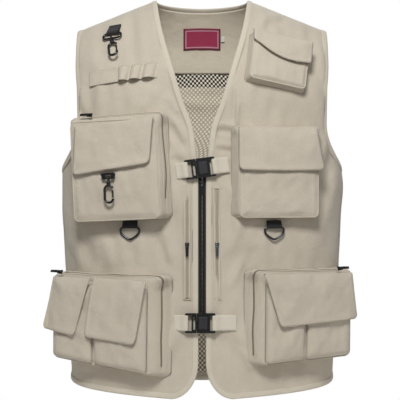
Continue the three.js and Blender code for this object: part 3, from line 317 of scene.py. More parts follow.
# nylon coils: smooth moulded turns with a soft shine; the third is the beige coil darkened with painted
# shade, for the zips on the bags' walls
coilBlack = plainMaterial("nylonCoilBlack", "#131315", 0.38)
coilBeige = plainMaterial("nylonCoilBeige", "#bfb5a1", 0.5)
coilBeigeShaded = plainMaterial("nylonCoilBeigeShaded", "#857b69", 0.45)
# injection moulded acetal: satin black, and a textured panel that looks greyer
blackPlastic = plainMaterial("mouldedAcetalBlack", "#101012", 0.34, bump=0.1)
insetPlastic = plainMaterial("texturedAcetalBlack", "#232428", 0.62, grain=0.7143, bump=0.5)
# enamel over zinc, rubbed paler at the edges, and two plated wires with sharp lights
blackPaint = plainMaterial("blackEnamelledZinc", "#0f0f10", 0.26, bump=0.05, wear="#1c1c1d", Coat_Weight=0.4)
gunmetal = plainMaterial("nickelPlatedWire", "#6f7378", 0.24, 1.0, bump=0.05, wear="#8f949b")
blackNickel = plainMaterial("blackNickelWire", "#3a3c40", 0.27, 1.0, bump=0.05, wear="#54575c")
floorPaint = plainMaterial("paleFloorPaint", "#f7f6f4", 0.9, bump=0.02)  # flat off-white
print("stage: materials")

world = bpy.data.worlds.new("studio")
bpy.context.scene.world = world
world.use_nodes = True
sky = world.node_tree
sky.nodes["Background"].inputs["Strength"].default_value = studio["sky"]
sky.nodes["Background"].inputs["Color"].default_value = studio["skyTint"]
plain = addNode(sky, "ShaderNodeBackground", {"Color": (1, 1, 1, 1), "Strength": 1.0})
seen = addNode(sky, "ShaderNodeLightPath")
blend = addNode(sky, "ShaderNodeMixShader", {
    0: seen.outputs["Is Camera Ray"], 1: sky.nodes["Background"].outputs[0], 2: plain.outputs[0]})
sky.links.new(blend.outputs[0], sky.nodes["World Output"].inputs["Surface"])


# building blocks: every part is a dict of points, quads, tris and uv
def partOf(points, quads, tris=None, uv=None):
    # volume = sum of a . (b x c) / 6 over the faces; a closed part with a negative one is turned out
    tris = np.zeros((0, 3), int) if tris is None else tris
    a, b, c, d = (points[quads[:, k]] for k in range(4))
    volume = np.einsum("ij,ij->", a, np.cross(b, c)) + np.einsum("ij,ij->", a, np.cross(c, d))
    if len(tris):
        a, b, c = (points[tris[:, k]] for k in range(3))
        volume += np.einsum("ij,ij->", a, np.cross(b, c))
    if volume < 0:
        quads, tris = quads[:, ::-1], tris[:, ::-1]
    uv = points[:, [0, 2]] if uv is None else uv
    return {"points": points, "quads": quads, "tris": tris, "uv": uv}


def gridQuads(rows, cols, first=0, wrapRows=False, wrapCols=False):
    # quads (i, j), (i, j+1), (i+1, j+1), (i+1, j) of a grid stored row by row
    index = first + np.arange(rows * cols).reshape(rows, cols)
    if wrapRows:
        index = np.vstack([index, index[:1]])
    if wrapCols:
        index = np.hstack([index, index[:, :1]])
    return np.stack([index[:-1, :-1], index[:-1, 1:], index[1:, 1:], index[1:, :-1]], -1).reshape(-1, 4)


def slab(front, back, uv=None):
    # two grids of the same size that share their border points: a closed cloth or plate
    rows, cols = front.shape[:2]
    over = np.arange(rows * cols).reshape(rows, cols)
    under = over.copy()
    inner = np.zeros((rows, cols), bool)
    inner[1:-1, 1:-1] = True
    under[inner] = rows * cols + np.arange(inner.sum())
    points = np.concatenate([front.reshape(-1, 3), back[inner]])
    top = np.stack([over[:-1, :-1], over[:-1, 1:], over[1:, 1:], over[1:, :-1]], -1).reshape(-1, 4)
    low = np.stack([under[:-1, :-1], under[1:, :-1], under[1:, 1:], under[:-1, 1:]], -1).reshape(-1, 4)
    if uv is not None:
        uv = np.concatenate([uv.reshape(-1, 2), uv[inner]])
    return partOf(points, np.concatenate([top, low]), uv=uv)


def unit(vectors):
    # v / |v|
    return vectors / np.maximum(np.linalg.norm(vectors, axis=-1, keepdims=True), 1e-9)


def gridNormals(grid):
    # normal = d(grid)/du x d(grid)/dv
    return unit(np.cross(np.gradient(grid, axis=1), np.gradient(grid, axis=0)))


def lengthAlong(path):
    # running sum of the steps' lengths, from 0
    return np.concatenate([[0], np.cumsum(np.linalg.norm(np.diff(path, axis=0), axis=1))])


def resample(path, count, *others):
    # points at equal steps of arc length; others are carried along the same way
    run = lengthAlong(path)
    at = np.linspace(0, run[-1], count)
    made = [np.stack([np.interp(at, run, col) for col in group.T], -1) for group in (path, *others)]
    return made if others else made[0]


def roundOff(points, closed=False, passes=3):
    # corner cutting: each corner becomes two points, a quarter and three quarters along its sides
    line = np.asarray(points, float)
    for _ in range(passes):
        ahead = np.roll(line, -1, axis=0) if closed else line[1:]
        here = line if closed else line[:-1]
        cut = np.stack([0.75 * here + 0.25 * ahead, 0.25 * here + 0.75 * ahead], 1).reshape(-1, line.shape[1])
        line = cut if closed else np.concatenate([line[:1], cut, line[-1:]])
    return line


def sweep(path, up, section, closed=False, scale=None):
    # point(i, k) = path(i) + section(k).x * side(i) + section(k).y * up(i), with side = tangent x up
    path, up = np.asarray(path, float), np.broadcast_to(np.asarray(up, float), np.shape(path))
    if closed:
        tangent = np.roll(path, -1, axis=0) - np.roll(path, 1, axis=0)
    else:
        tangent = np.gradient(path, axis=0)
    tangent = unit(tangent)
    side = unit(np.cross(tangent, up))
    up = unit(np.cross(side, tangent))
    scale = np.ones(len(path)) if scale is None else np.asarray(scale)
    section = np.asarray(section, float)
    spread = section[None] * scale[:, None, None]
    points = path[:, None] + spread[..., :1] * side[:, None] + spread[..., 1:] * up[:, None]
    rows, cols = points.shape[:2]
    quads = gridQuads(rows, cols, wrapRows=closed, wrapCols=True)
    run = np.append(lengthAlong(path), 0)[:rows]
    wrap = np.append(0, np.cumsum(np.linalg.norm(np.diff(section, axis=0), axis=1)))
    uv = np.stack(np.broadcast_arrays(run[:, None], wrap[None]), -1).reshape(-1, 2)
    flat, tris = points.reshape(-1, 3), None
    if not closed:
        ends = []
        for row in (0, rows - 1):
            centre = len(flat)
            flat = np.concatenate([flat, points[row].mean(0)[None]])
            uv = np.concatenate([uv, uv[row * cols][None]])
            ring = row * cols + np.arange(cols)
            fan = np.stack([np.full(cols, centre), ring, np.roll(ring, -1)], -1)
            ends.append(fan[:, ::-1] if row == 0 else fan)
        tris = np.concatenate(ends)
    return partOf(flat, quads, tris, uv)


def circle(radius, sides=10, squash=1.0):
    # (r cos t, r squash sin t)
    turn = np.arange(sides) * 2 * np.pi / sides
    return np.stack([radius * np.cos(turn), radius * squash * np.sin(turn)], -1)


def lathe(profile, sides=20):
    # (r, z) turned about Z: point = (r cos t, r sin t, z), closed at both ends by a fan
    profile = np.asarray(profile, float)
    turn = np.arange(sides) * 2 * np.pi / sides
    ring = np.stack([np.cos(turn), np.sin(turn)], -1)
    rows = len(profile)
    points = np.concatenate([
        (profile[:, None, :1] * ring[None]), np.broadcast_to(profile[:, None, 1:], (rows, sides, 1))], -1)
    flat = np.concatenate([points.reshape(-1, 3), [[0, 0, profile[0, 1]], [0, 0, profile[-1, 1]]]])
    quads = gridQuads(rows, sides, wrapCols=True)
    first, last = np.arange(sides), (rows - 1) * sides + np.arange(sides)
    low = np.stack([np.full(sides, rows * sides), np.roll(first, -1), first], -1)
    high = np.stack([np.full(sides, rows * sides + 1), last, np.roll(last, -1)], -1)
    return partOf(flat, quads, np.concatenate([low, high]))


def beads(centres, along, out, size, sides=5):
    # one capsule: rings of radius 0.75, 1, 0.75 at -0.7, 0, 0.7 and poles at -1 and 1, scaled by size
    # and placed at each centre with its axes along, out and along x out
    turn = np.arange(sides) * 2 * np.pi / sides
    rings = np.concatenate([np.stack([np.full(sides, a), r * np.cos(turn), r * np.sin(turn)], -1)
                            for a, r in ((-0.7, 0.75), (0, 1), (0.7, 0.75))])
    shape = np.concatenate([rings, [[-1, 0, 0], [1, 0, 0]]]) * np.asarray(size, float) / 2
    along, out = unit(along), unit(out)
    side = unit(np.cross(out, along))
    out = np.cross(along, side)
    axes = np.stack([along, side, out], 1)
    points = centres[:, None] + np.einsum("kj,njc->nkc", shape, axes)
    quads = gridQuads(3, sides, wrapCols=True)
    ring, pole = np.arange(sides), 3 * sides
    low = np.stack([np.full(sides, pole), np.roll(ring, -1), ring], -1)
    high = np.stack([np.full(sides, pole + 1), 2 * sides + ring, 2 * sides + np.roll(ring, -1)], -1)
    shift = np.arange(len(centres))[:, None, None] * len(shape)
    return partOf(points.reshape(-1, 3), (quads + shift).reshape(-1, 4),
                  (np.concatenate([low, high]) + shift).reshape(-1, 3))


stitch = {"long": 2.5, "gap": 1.1, "thick": 0.62, "sink": 0.1}


def stitches(path, normals, spec=stitch):
    # thread that shows between needle holes: one capsule every long + gap along the path
    count = max(int(lengthAlong(path)[-1] / (spec["long"] + spec["gap"])), 2)
    at, out = resample(path, count, normals)
    return beads(at - unit(out) * spec["sink"], np.gradient(at, axis=0), out,
                 (spec["long"], spec["thick"], spec["thick"]))


def moved(part, seat):
    # the same part with its points carried from its seat to the vest
    return {**part, "points": toWorld(seat, part["points"])}


def addPiece(name, parts, material, body="root", replaces=(), bend=None):
    # joins parts (or (part, material) pairs) into one mesh in metres that rides on a body,
    # or, when bend is given, is left unattached with its placement baked into its points
    pairs = [p if isinstance(p, tuple) else (p, material) for p in parts]
    used = list(dict.fromkeys(m for _, m in pairs))
    mesh = bpy.data.meshes.new(name)
    points = np.concatenate([p["points"] for p, _ in pairs])
    first = np.cumsum([0] + [len(p["points"]) for p, _ in pairs])
    quads = np.concatenate([p["quads"] + f for (p, _), f in zip(pairs, first)])
    tris = np.concatenate([p["tris"] + f for (p, _), f in zip(pairs, first)])
    kinds = np.concatenate([np.full(len(p["quads"]), used.index(m)) for p, m in pairs]
                           + [np.full(len(p["tris"]), used.index(m)) for p, m in pairs])
    mesh.from_pydata((points * mm).tolist(), [], quads.tolist() + tris.tolist())
    for m in used:
        mesh.materials.append(m)
    mesh.polygons.foreach_set("material_index", kinds.astype(np.int32))
    mesh.polygons.foreach_set("use_smooth", np.ones(len(mesh.polygons), bool))
    corner = np.empty(len(mesh.loops), np.int32)
    mesh.loops.foreach_get("vertex_index", corner)
    flat = np.concatenate([p["uv"] for p, _ in pairs]) * mm
    mesh.uv_layers.new(name="surface").data.foreach_set("uv", flat[corner].astype(np.float32).ravel())
    mesh.update()
    obj = bpy.data.objects.new(name, mesh)
    bpy.context.collection.objects.link(obj)
    if bend:
        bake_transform(obj)
    else:
        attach(obj, body)
    if replaces:
        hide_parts(*replaces)
    return obj


# the garment's surface: neck, shoulders, chest, hem, armholes and front corners
vest = {
    "neckHalf": 75.0, "tip": 204.0, "fall": 51.0, "roll": 180.0, "fade": 260.0, "half": 229.0,
    "hemHalf": 214.0, "taper": 330.0, "front": 118.0, "back": 104.0, "power": 2.4, "vDrop": 290.0,
    "neckDrop": 6.0, "armDrop": 276.0, "armBowl": 70.0, "armAngle": 56.0, "tipAngle": 58.3, "hem": 641.0,
    "sideRise": 22.0, "backRise": 4.0, "cornerWide": 43.0, "cornerTall": 58.0, "gapHalf": 6.3,
}
vShape = np.array([[0, 1], [0.19, 0.847], [0.39, 0.607], [0.59, 0.352], [0.73, 0.134],
                   [0.866, 0.054], [1, 0]])
rollRun = vest["roll"] * np.pi / 2


def ease(value, low, high):
    # t t (3 - 2 t), with t = (value - low) / (high - low) held in 0..1
    t = np.clip((np.asarray(value, float) - low) / (high - low), 0, 1)
    return t * t * (3 - 2 * t)


def softAbs(x):
    # sqrt(x^2 + 20^2): |x| without its kink
    return np.sqrt(x * x + 400.0)


def shoulderLine(x):
    # height of the shoulder slope: slope (soft |neck half| - soft |x|)
    slope = vest["fall"] / (softAbs(vest["tip"]) - softAbs(vest["neckHalf"]))
    return slope * (softAbs(vest["neckHalf"]) - softAbs(x))


def dropOf(run):
    # over the shoulder T (1 - cos(run / T)), then straight down
    run = np.asarray(run, float)
    return np.where(run < rollRun, vest["roll"] * (1 - np.cos(run / vest["roll"])),
                    vest["roll"] + run - rollRun)


def halfAt(drop):
    # half-width, eased from the chest to the hem
    return vest["half"] + (vest["hemHalf"] - vest["half"]) * ease(drop, vest["taper"], vest["hem"])


def torso(spot):
    # spot = (angle, run). reach = (|sin|^n + |cos|^n)^(-1/n); x = half reach sin;
    # y = -depth reach cos lift; z = shoulder line faded out, minus the drop
    angle, run = spot[..., 0], spot[..., 1]
    drop = dropOf(run)
    lift = np.where(run < rollRun, np.sin(run / vest["roll"]), 1.0)
    s, c, n = np.sin(angle), np.cos(angle), vest["power"]
    reach = (np.abs(s) ** n + np.abs(c) ** n) ** (-1 / n)
    x = halfAt(drop) * reach * s
    depth = np.where(c > 0, vest["front"], vest["back"])
    return np.stack([x, -depth * reach * c * lift,
                     shoulderLine(x) * (1 - ease(drop, 0, vest["fade"])) - drop], -1)


def slopesAt(spot):
    # central differences of the torso along its angle and its run
    da, dr = np.array([0.004, 0]), np.array([0, 0.5])
    return (torso(spot + da) - torso(spot - da)) / 0.008, torso(spot + dr) - torso(spot - dr)


def normalAt(spot):
    # d(torso)/d(run) x d(torso)/d(angle)
    byAngle, byRun = slopesAt(spot)
    return unit(np.cross(byRun, byAngle))


def onCloth(spot, lift=0.0):
    # torso + lift times its normal
    return torso(spot) + normalAt(spot) * np.asarray(lift, float)[..., None]


def runAt(x, z):
    # bisection: the height falls as the run grows
    low, high = np.zeros(np.shape(x)), np.full(np.shape(x), 2 * vest["hem"])
    for _ in range(36):
        middle = (low + high) / 2
        drop = dropOf(middle)
        above = shoulderLine(x) * (1 - ease(drop, 0, vest["fade"])) - drop > z
        low, high = np.where(above, middle, low), np.where(above, high, middle)
    return low


def frontSpot(x, z):
    # the spot of the front at (x, z): angle = atan2(x / half, depth share), run by bisection
    x, z = np.broadcast_arrays(np.asarray(x, float), np.asarray(z, float))
    run = runAt(x, z)
    across = np.minimum(np.abs(x) / halfAt(dropOf(run)), 1)
    depth = (1 - across ** vest["power"]) ** (1 / vest["power"])
    return np.stack([np.sign(x) * np.arctan2(across, depth), run], -1)


def behind(spot):
    # the same height on the back: angle = pi - angle
    return np.stack([np.pi - spot[..., 0], spot[..., 1]], -1)


def mirrored(spot):
    # the other side: angle = -angle
    return spot * np.array([-1, 1])


def openingAt(z):
    # a smooth cubic through vShape, from the neck's half-width down to the zip's
    share = np.clip(-np.asarray(z, float) / vest["vDrop"], 0, 1)
    k, w = vShape.T
    tilt = np.concatenate([[(w[1] - w[0]) / (k[1] - k[0])], (w[2:] - w[:-2]) / (k[2:] - k[:-2]),
                           [(w[-1] - w[-2]) / (k[-1] - k[-2])]])
    i = np.clip(np.searchsorted(k, share, side="right") - 1, 0, len(k) - 2)
    span = k[i + 1] - k[i]
    t = (share - k[i]) / span
    a, b, p, q = w[i], w[i + 1], tilt[i] * span, tilt[i + 1] * span
    wide = a + t * p + t * t * (3 * (b - a) - 2 * p - q) + t ** 3 * (2 * (a - b) + p + q)
    return vest["gapHalf"] + wide * (vest["neckHalf"] - vest["gapHalf"])


def openingSpots(runs):
    # spots of the neck edge at each run, where x settles to the opening there
    x = np.full(runs.shape, vest["neckHalf"])
    for _ in range(14):
        across = np.minimum(x / halfAt(dropOf(runs)), 1)
        angle = np.arctan2(across, (1 - across ** vest["power"]) ** (1 / vest["power"]))
        x = openingAt(torso(np.stack([angle, runs], -1))[..., 2])
    return np.stack([angle, runs], -1)


shoulderRuns = np.linspace(0, math.radians(70), 36) * vest["roll"]
neckLine = openingSpots(shoulderRuns)
vTop = float(torso(neckLine[-1])[2])
cornerTop = vest["cornerTall"] - vest["hem"]
vLow = np.linspace(vTop, -vest["vDrop"], 44)[1:]
zipHeights = np.linspace(-vest["vDrop"], cornerTop, 60)[1:]
quarter = np.radians(np.linspace(0, 90, 20))[1:]
frontLine = np.concatenate([
    neckLine, frontSpot(openingAt(vLow), vLow), frontSpot(np.full(59, vest["gapHalf"]), zipHeights),
    frontSpot(vest["gapHalf"] + vest["cornerWide"] * (1 - np.cos(quarter)),
              cornerTop - vest["cornerTall"] * np.sin(quarter))])
hemShare = np.linspace(0, 1, 60)[1:]
hemStart = frontLine[-1]
hemLine = np.stack([hemStart[0] + (np.pi / 2 - hemStart[0]) * hemShare,
                    hemStart[1] - vest["sideRise"] * hemShare], -1)
centreRun = float(runAt(0.0, vest["backRise"] - vest["hem"]))
backHemLine = np.stack([np.pi / 2 * (1 + hemShare),
                        hemLine[-1, 1] + (centreRun - hemLine[-1, 1]) * ease(hemShare, 0, 1)], -1)
neckTurn = np.radians(np.linspace(0, 90, 24))[1:]
backNeckLine = behind(frontSpot(vest["neckHalf"] * np.cos(neckTurn), -vest["neckDrop"] * np.sin(neckTurn)))
bowlTop = vest["armDrop"] - vest["armBowl"]
armShare = ease(dropOf(shoulderRuns), vest["roll"] / 3, bowlTop - vest["fall"])
armUpper = np.stack([np.radians(vest["tipAngle"] + (vest["armAngle"] - vest["tipAngle"]) * armShare),
                     shoulderRuns], -1)
bowlTurn = np.radians(np.linspace(0, 90, 26))
bowlAngle = np.radians(90 - (90 - vest["armAngle"]) * np.cos(bowlTurn))
bowlX = torso(np.stack([bowlAngle, np.full(26, armUpper[-1, 1])], -1))[:, 0]
armLine = np.concatenate([armUpper, np.stack([
    bowlAngle, runAt(bowlX, -bowlTop - vest["armBowl"] * np.sin(bowlTurn))], -1)])

downHalf = np.concatenate([frontLine, hemLine, backHemLine])
rightHalf = mirrored(np.concatenate([downHalf[:-1][::-1], backNeckLine[:-1]]))
edgeLoop = np.concatenate([downHalf, rightHalf, backNeckLine[::-1]])
edgeLoop[edgeLoop[:, 0] < -np.pi / 2 - 1e-6, 0] += 2 * np.pi
armLoop = np.concatenate([armLine, behind(armLine[1:-1][::-1])])


def inwardSteps(loop):
    # (angle, run) step that moves each spot 1 mm to the left of the loop's direction, along the cloth
    points = torso(loop)
    along = unit(np.roll(points, -1, axis=0) - np.roll(points, 1, axis=0))
    byAngle, byRun = slopesAt(loop)
    side = unit(np.cross(unit(np.cross(byRun, byAngle)), along))
    aa, ar, rr = (np.einsum("ij,ij->i", p, q) for p, q in
                  ((byAngle, byAngle), (byAngle, byRun), (byRun, byRun)))
    sa, sr = np.einsum("ij,ij->i", side, byAngle), np.einsum("ij,ij->i", side, byRun)
    return np.stack([sa * rr - sr * ar, sr * aa - sa * ar], -1) / (aa * rr - ar * ar)[:, None]


edgeIn = inwardSteps(edgeLoop)
armIn = -inwardSteps(armLoop)
print("stage: garment surface", len(edgeLoop), len(armLoop))


def waves(x, z, seed, size, count=16, tall=1.0):
    # sum of cosines in random directions, near -1..1; tall > 1 draws them out along z
    rng = np.random.default_rng(seed)
    way, phase = rng.uniform(0, 2 * np.pi, (2, count))
    turn = 2 * np.pi / (size * rng.uniform(0.7, 1.6, count))
    ax, az = np.cos(way) * turn, np.sin(way) * turn / tall
    return np.cos(np.multiply.outer(x, ax) + np.multiply.outer(z, az) + phase).sum(-1) / math.sqrt(count)


def creases(x, z, rows):
    # each row (x0, z0, x1, z1, width, height) adds height exp(-(d / width)^2), fading to both ends
    total = np.zeros(np.shape(x))
    for x0, z0, x1, z1, width, height in rows:
        dx, dz = x1 - x0, z1 - z0
        t = ((x - x0) * dx + (z - z0) * dz) / (dx * dx + dz * dz)
        near = np.clip(t, 0, 1)
        d = np.hypot(x - x0 - near * dx, z - z0 - near * dz)
        total += height * np.exp(-(d / width) ** 2) * ease(t, -0.1, 0.3) * (1 - ease(t, 0.7, 1.1))
    return total


def spotsAlong(line, count):
    # a line of spots at equal steps of arc length on the cloth
    return resample(torso(line), count, line)[1]


def patch(left, right, low, top):
    # Coons patch: lerp(left, right) + lerp(low, top) - bilinear corners
    u, v = np.linspace(0, 1, len(low))[None, :, None], np.linspace(0, 1, len(left))[:, None, None]
    sides = left[:, None] * (1 - u) + right[:, None] * u
    ends = low[None] * (1 - v) + top[None] * v
    corners = (low[0] * (1 - u) + low[-1] * u) * (1 - v) + (top[0] * (1 - u) + top[-1] * u) * v
    return sides + ends - corners


def straightSpots(a, b, count):
    # a + (b - a) t
    return np.asarray(a) + (np.asarray(b) - np.asarray(a)) * np.linspace(0, 1, count)[:, None]


def surfaceUv(spots):
    # arc length down the panel's middle column and across each row, in millimetres
    points = torso(spots)
    across = np.concatenate([np.zeros((len(spots), 1)), np.cumsum(
        np.linalg.norm(np.diff(points, axis=1), axis=2), axis=1)], 1)
    down = lengthAlong(points[:, points.shape[1] // 2])
    return np.stack([across, np.broadcast_to(down[:, None], across.shape)], -1)


def clothPanel(spots, relief, thick, lift=0.0):
    # outer layer = cloth + lift + relief along the normal, inner layer = the same less its thickness
    normal, points = normalAt(spots), torso(spots)
    outer = points + normal * (lift + relief)[..., None]
    inner = points + normal * (lift + relief - thick)[..., None]
    return outer, normal, slab(outer, inner, surfaceUv(spots))


panelSpec = {"rows": 200, "cols": 96, "tuck": 4.0, "thick": 1.2, "ripple": 1.9, "fine": 0.8, "crease": 2.3,
             "fade": 0.05, "calm": 0.6, "calmFrom": -120, "calmTo": -20, "stitchUp": 0.2}
# creases seen on the fronts: x0, z0, x1, z1, width, height
leftCreases = [
    (52, -212, 18, -206, 4, 1.0), (54, -222, 16, -219, 4, -1.1), (54, -244, 18, -238, 4, 0.9),
    (56, -252, 20, -249, 4, -1.0), (50, -150, 50, -214, 3, -1.6), (57, -170, 54, -214, 3, 1.3),
    (40, -300, 62, -345, 8, 1.4), (36, -330, 50, -390, 7, -1.3), (62, -352, 40, -420, 9, 1.5),
    (200, -215, 172, -330, 9, 1.8), (214, -235, 190, -350, 8, -1.6), (216, -280, 186, -400, 12, 1.5),
    (70, -415, 40, -470, 8, 1.5), (86, -400, 60, -450, 9, -1.2), (30, -505, 70, -560, 9, 1.2),
    (24, -540, 62, -590, 10, -1.2), (80, -598, 66, -560, 7, 1.8), (90, -40, 130, -28, 8, 1.0),
    (84, -60, 160, -20, 7, -0.8), (190, -70, 198, -160, 7, 1.0),
]
rightCreases = [
    (-52, -190, -22, -238, 5, 1.3), (-56, -205, -26, -252, 5, -1.4), (-54, -226, -30, -262, 4, 1.1),
    (-58, -160, -34, -196, 6, 1.0), (-50, -262, -26, -270, 4, -1.0), (-46, -300, -40, -350, 6, 1.2),
    (-60, -370, -44, -430, 8, 1.4), (-70, -380, -56, -440, 8, -1.2), (-212, -385, -190, -440, 10, 1.3),
    (-190, -380, -170, -440, 10, -1.2), (-150, -390, -140, -440, 9, 1.0), (-110, -395, -100, -446, 9, -1.0),
    (-36, -520, -60, -575, 9, 1.4), (-24, -545, -52, -600, 10, -1.2), (-48, -470, -44, -520, 6, 1.2),
    (-100, -190, -70, -150, 9, 1.0), (-196, -150, -186, -190, 8, 1.0), (-180, -20, -110, -12, 7, 0.8),
]
nEdge, nArm, nHem = len(frontLine), len(armLine), len(hemLine)
edgeTucked = edgeLoop + edgeIn * panelSpec["tuck"]
armTucked = armLoop + armIn * panelSpec["tuck"]


def frontSpots():
    # the left front: a patch between zip edge, side with armhole, hem and shoulder
    left = spotsAlong(edgeTucked[:nEdge][::-1], panelSpec["rows"])
    low = spotsAlong(edgeTucked[nEdge - 1:nEdge + nHem], panelSpec["cols"])
    low[-1, 0] = np.pi / 2
    arm = armTucked[:nArm][::-1].copy()
    arm[0, 0], arm[-1, 1], left[-1, 1] = np.pi / 2, 0.0, 0.0
    right = spotsAlong(np.concatenate([straightSpots(low[-1], arm[0], 40)[:-1], arm]), panelSpec["rows"])
    left[0], right[0] = low[0], low[-1]
    return patch(left, right, low, straightSpots(left[-1], right[-1], panelSpec["cols"]))


def edgeFade(shape, share):
    # 0 on the border, 1 from `share` of the way in
    u = np.minimum(*np.meshgrid(*(np.minimum(np.linspace(0, 1, n), np.linspace(1, 0, n)) for n in shape),
                                indexing="ij"))
    return ease(u, 0, share)


def frontRelief(spots, rows, seed):
    # broad ripple, fine ripple and creases, calm at the shoulder and 0 on the border
    points = torso(spots)
    x, z = points[..., 0], points[..., 2]
    calm = 1 - panelSpec["calm"] * ease(z, panelSpec["calmFrom"], panelSpec["calmTo"])
    high = panelSpec["ripple"] * waves(x, z, seed, 85, tall=1.7) * calm
    high += panelSpec["fine"] * waves(x, z, seed + 1, 26, tall=3.0)
    return (high + panelSpec["crease"] * creases(x, z, rows)) * edgeFade(x.shape, panelSpec["fade"])


leftSpots = frontSpots()
for side, name, rows, seed in ((1, "left_front_panel", leftCreases, 11),
                               (-1, "right_front_panel", rightCreases, 23)):
    spots = leftSpots if side > 0 else mirrored(leftSpots)
    relief = frontRelief(spots, rows, seed)
    outer, normal, cloth = clothPanel(spots, relief, panelSpec["thick"])
    rowsOf = [outer[:, -4], outer[-4, 2:-2]]
    normals = [normal[:, -4], normal[-4, 2:-2]]
    seams = [stitches(p + n * panelSpec["stitchUp"], n) for p, n in zip(rowsOf, normals)]
    panel = addPiece(name + "_cloth", [cloth] + [(s, stitchThread) for s in seams], shellCloth,
                     replaces=[name])

backSpec = {"rows": 150, "halfCols": 70, "panelTop": 150.0, "yokeBottom": 190.0, "tuck": 2.2, "ripple": 1.3}
yokeSpec = {"rows": 80, "ripple": 0.9, "lip": 0.9}


def wholeBack(half):
    # the half patch starts at the centre back; its mirror image is put before it
    other = np.stack([2 * np.pi - half[..., 0], half[..., 1]], -1)[:, ::-1]
    return np.concatenate([other[:, :-1], half], 1)


armBack = behind(armTucked[:nArm]).copy()
armBack[0, 1], armBack[-1, 0] = 0.0, np.pi / 2
armBack = spotsAlong(armBack, 400)


def levelLine(height, end, count):
    # along the back at one height, from the centre out to the armhole
    last = float(torso(end)[0])
    line = behind(frontSpot(np.linspace(0, last, count), height))
    line[-1] = end
    return line


def backSpots():
    # the back below the yoke: a patch from the centre back out to the side and armhole
    low = spotsAlong(edgeTucked[nEdge + nHem - 1:nEdge + 2 * nHem][::-1], backSpec["halfCols"])
    low[0, 0], low[-1, 0] = np.pi, np.pi / 2
    arm = armBack[torso(armBack)[:, 2] < -backSpec["panelTop"]][::-1]
    right = spotsAlong(np.concatenate([straightSpots(low[-1], arm[0], 40)[:-1], arm]), backSpec["rows"])
    right[0] = low[-1]
    top = levelLine(-backSpec["panelTop"], right[-1], backSpec["halfCols"])
    return wholeBack(patch(straightSpots(low[0], top[0], backSpec["rows"]), right, low, top))


def yokeSpots():
    # the yoke over the shoulders: a patch from the centre back between neck, shoulder, armhole and foot
    neck = (edgeLoop[-len(backNeckLine):] + edgeIn[-len(backNeckLine):] * panelSpec["tuck"]).copy()
    neck[0, 0], neck[-1, 1] = np.pi, 0.0
    top = spotsAlong(np.concatenate([neck, straightSpots(neck[-1], armBack[0], 30)[1:]]),
                     backSpec["halfCols"])
    arm = armBack[torso(armBack)[:, 2] > -backSpec["yokeBottom"]][::-1]
    right = spotsAlong(arm, yokeSpec["rows"])
    top[-1] = right[-1]
    foot = levelLine(-backSpec["yokeBottom"], right[0], backSpec["halfCols"])
    return wholeBack(patch(straightSpots(foot[0], top[0], yokeSpec["rows"]), right, foot, top))


def backRelief(spots, seed, size):
    # broad and fine ripple, 0 on the border
    points = torso(spots)
    x, z = points[..., 0], points[..., 2]
    high = size * waves(x, z, seed, 95, tall=2.0) + 0.3 * waves(x, z, seed + 1, 26, tall=2.5)
    return high * edgeFade(x.shape, 0.06)


spots = backSpots()
tucked = backRelief(spots, 31, backSpec["ripple"]) - backSpec["tuck"] * ease(
    torso(spots)[..., 2], -backSpec["yokeBottom"] - 30, -backSpec["yokeBottom"] - 4)
outer, normal, cloth = clothPanel(spots, tucked, panelSpec["thick"])
seams = [stitches(outer[:, k] + normal[:, k] * 0.2, normal[:, k]) for k in (3, -4)]
backPanel = addPiece("back_panel_cloth", [cloth] + [(s, stitchThread) for s in seams], shellCloth,
                     replaces=["back_panel"])

spots = yokeSpots()
lip = yokeSpec["lip"] * (1 - ease(np.linspace(0, 1, len(spots)), 0.0, 0.2))[:, None]
outer, normal, cloth = clothPanel(spots, backRelief(spots, 41, yokeSpec["ripple"]) + lip, panelSpec["thick"])
rowsOf = [(outer[2], normal[2]), (outer[7], normal[7]), (outer[-4, 3:-3], normal[-4, 3:-3])]
seams = [stitches(p + n * 0.2, n) for p, n in rowsOf]
yoke = addPiece("back_yoke_cloth", [cloth] + [(s, stitchThread) for s in seams], shellCloth,
                replaces=["back_yoke"])

# the yoke's facing inside, and the mesh lining that hangs from under it
lining = {"meshTop": -109.0, "rise": 14.0, "side": 96.0, "offset": 5.2, "topOffset": 3.0, "thick": 0.8,
          "armGap": 4.5, "sag": 1.4,
          "folds": [(-40, -158, 10, -170, 8, -2.4), (10, -170, 52, -156, 8, -2.4),
                    (-30, -150, 40, -146, 7, 1.2)]}


def innerSpots(top, foot, rows, cols=60):
    # rows of spots behind the wearer's back between two heights, each run out to the armhole or the side
    heights = np.linspace(foot, top, rows)
    run = runAt(np.zeros(rows), heights)
    arm = behind(armLine)
    limit = np.interp(run, arm[:, 1], arm[:, 0]) + math.radians(lining["armGap"])
    limit = np.maximum(limit, math.radians(lining["side"]))
    share = np.linspace(0, 1, cols)[None]
    angle = np.pi + (limit[:, None] - np.pi) * share
    drop = (np.pi - angle) / (np.pi / 2)
    extra = vest["sideRise"] * 0.5 * ease(drop, 0.2, 1) * ease(-heights, 300, 640)[:, None]
    return wholeBack(np.stack([angle, np.broadcast_to(run[:, None], angle.shape) - extra], -1))


spots = innerSpots(lining["meshTop"], vest["backRise"] - vest["hem"] + lining["rise"], 150)
x, z = torso(spots)[..., 0], torso(spots)[..., 2]
sag = -lining["topOffset"] - (lining["offset"] - lining["topOffset"]) * ease(
    -z, -lining["meshTop"], -lining["meshTop"] + 40)
sag += (lining["sag"] * waves(x, z, 51, 70, tall=1.5) - 0.8) * edgeFade(x.shape, 0.1)
cloth = clothPanel(spots, sag + creases(x, z, lining["folds"]), lining["thick"])[2]
net = addPiece("back_mesh_lining_knit", [cloth], knitMesh, replaces=["back_mesh_lining"])

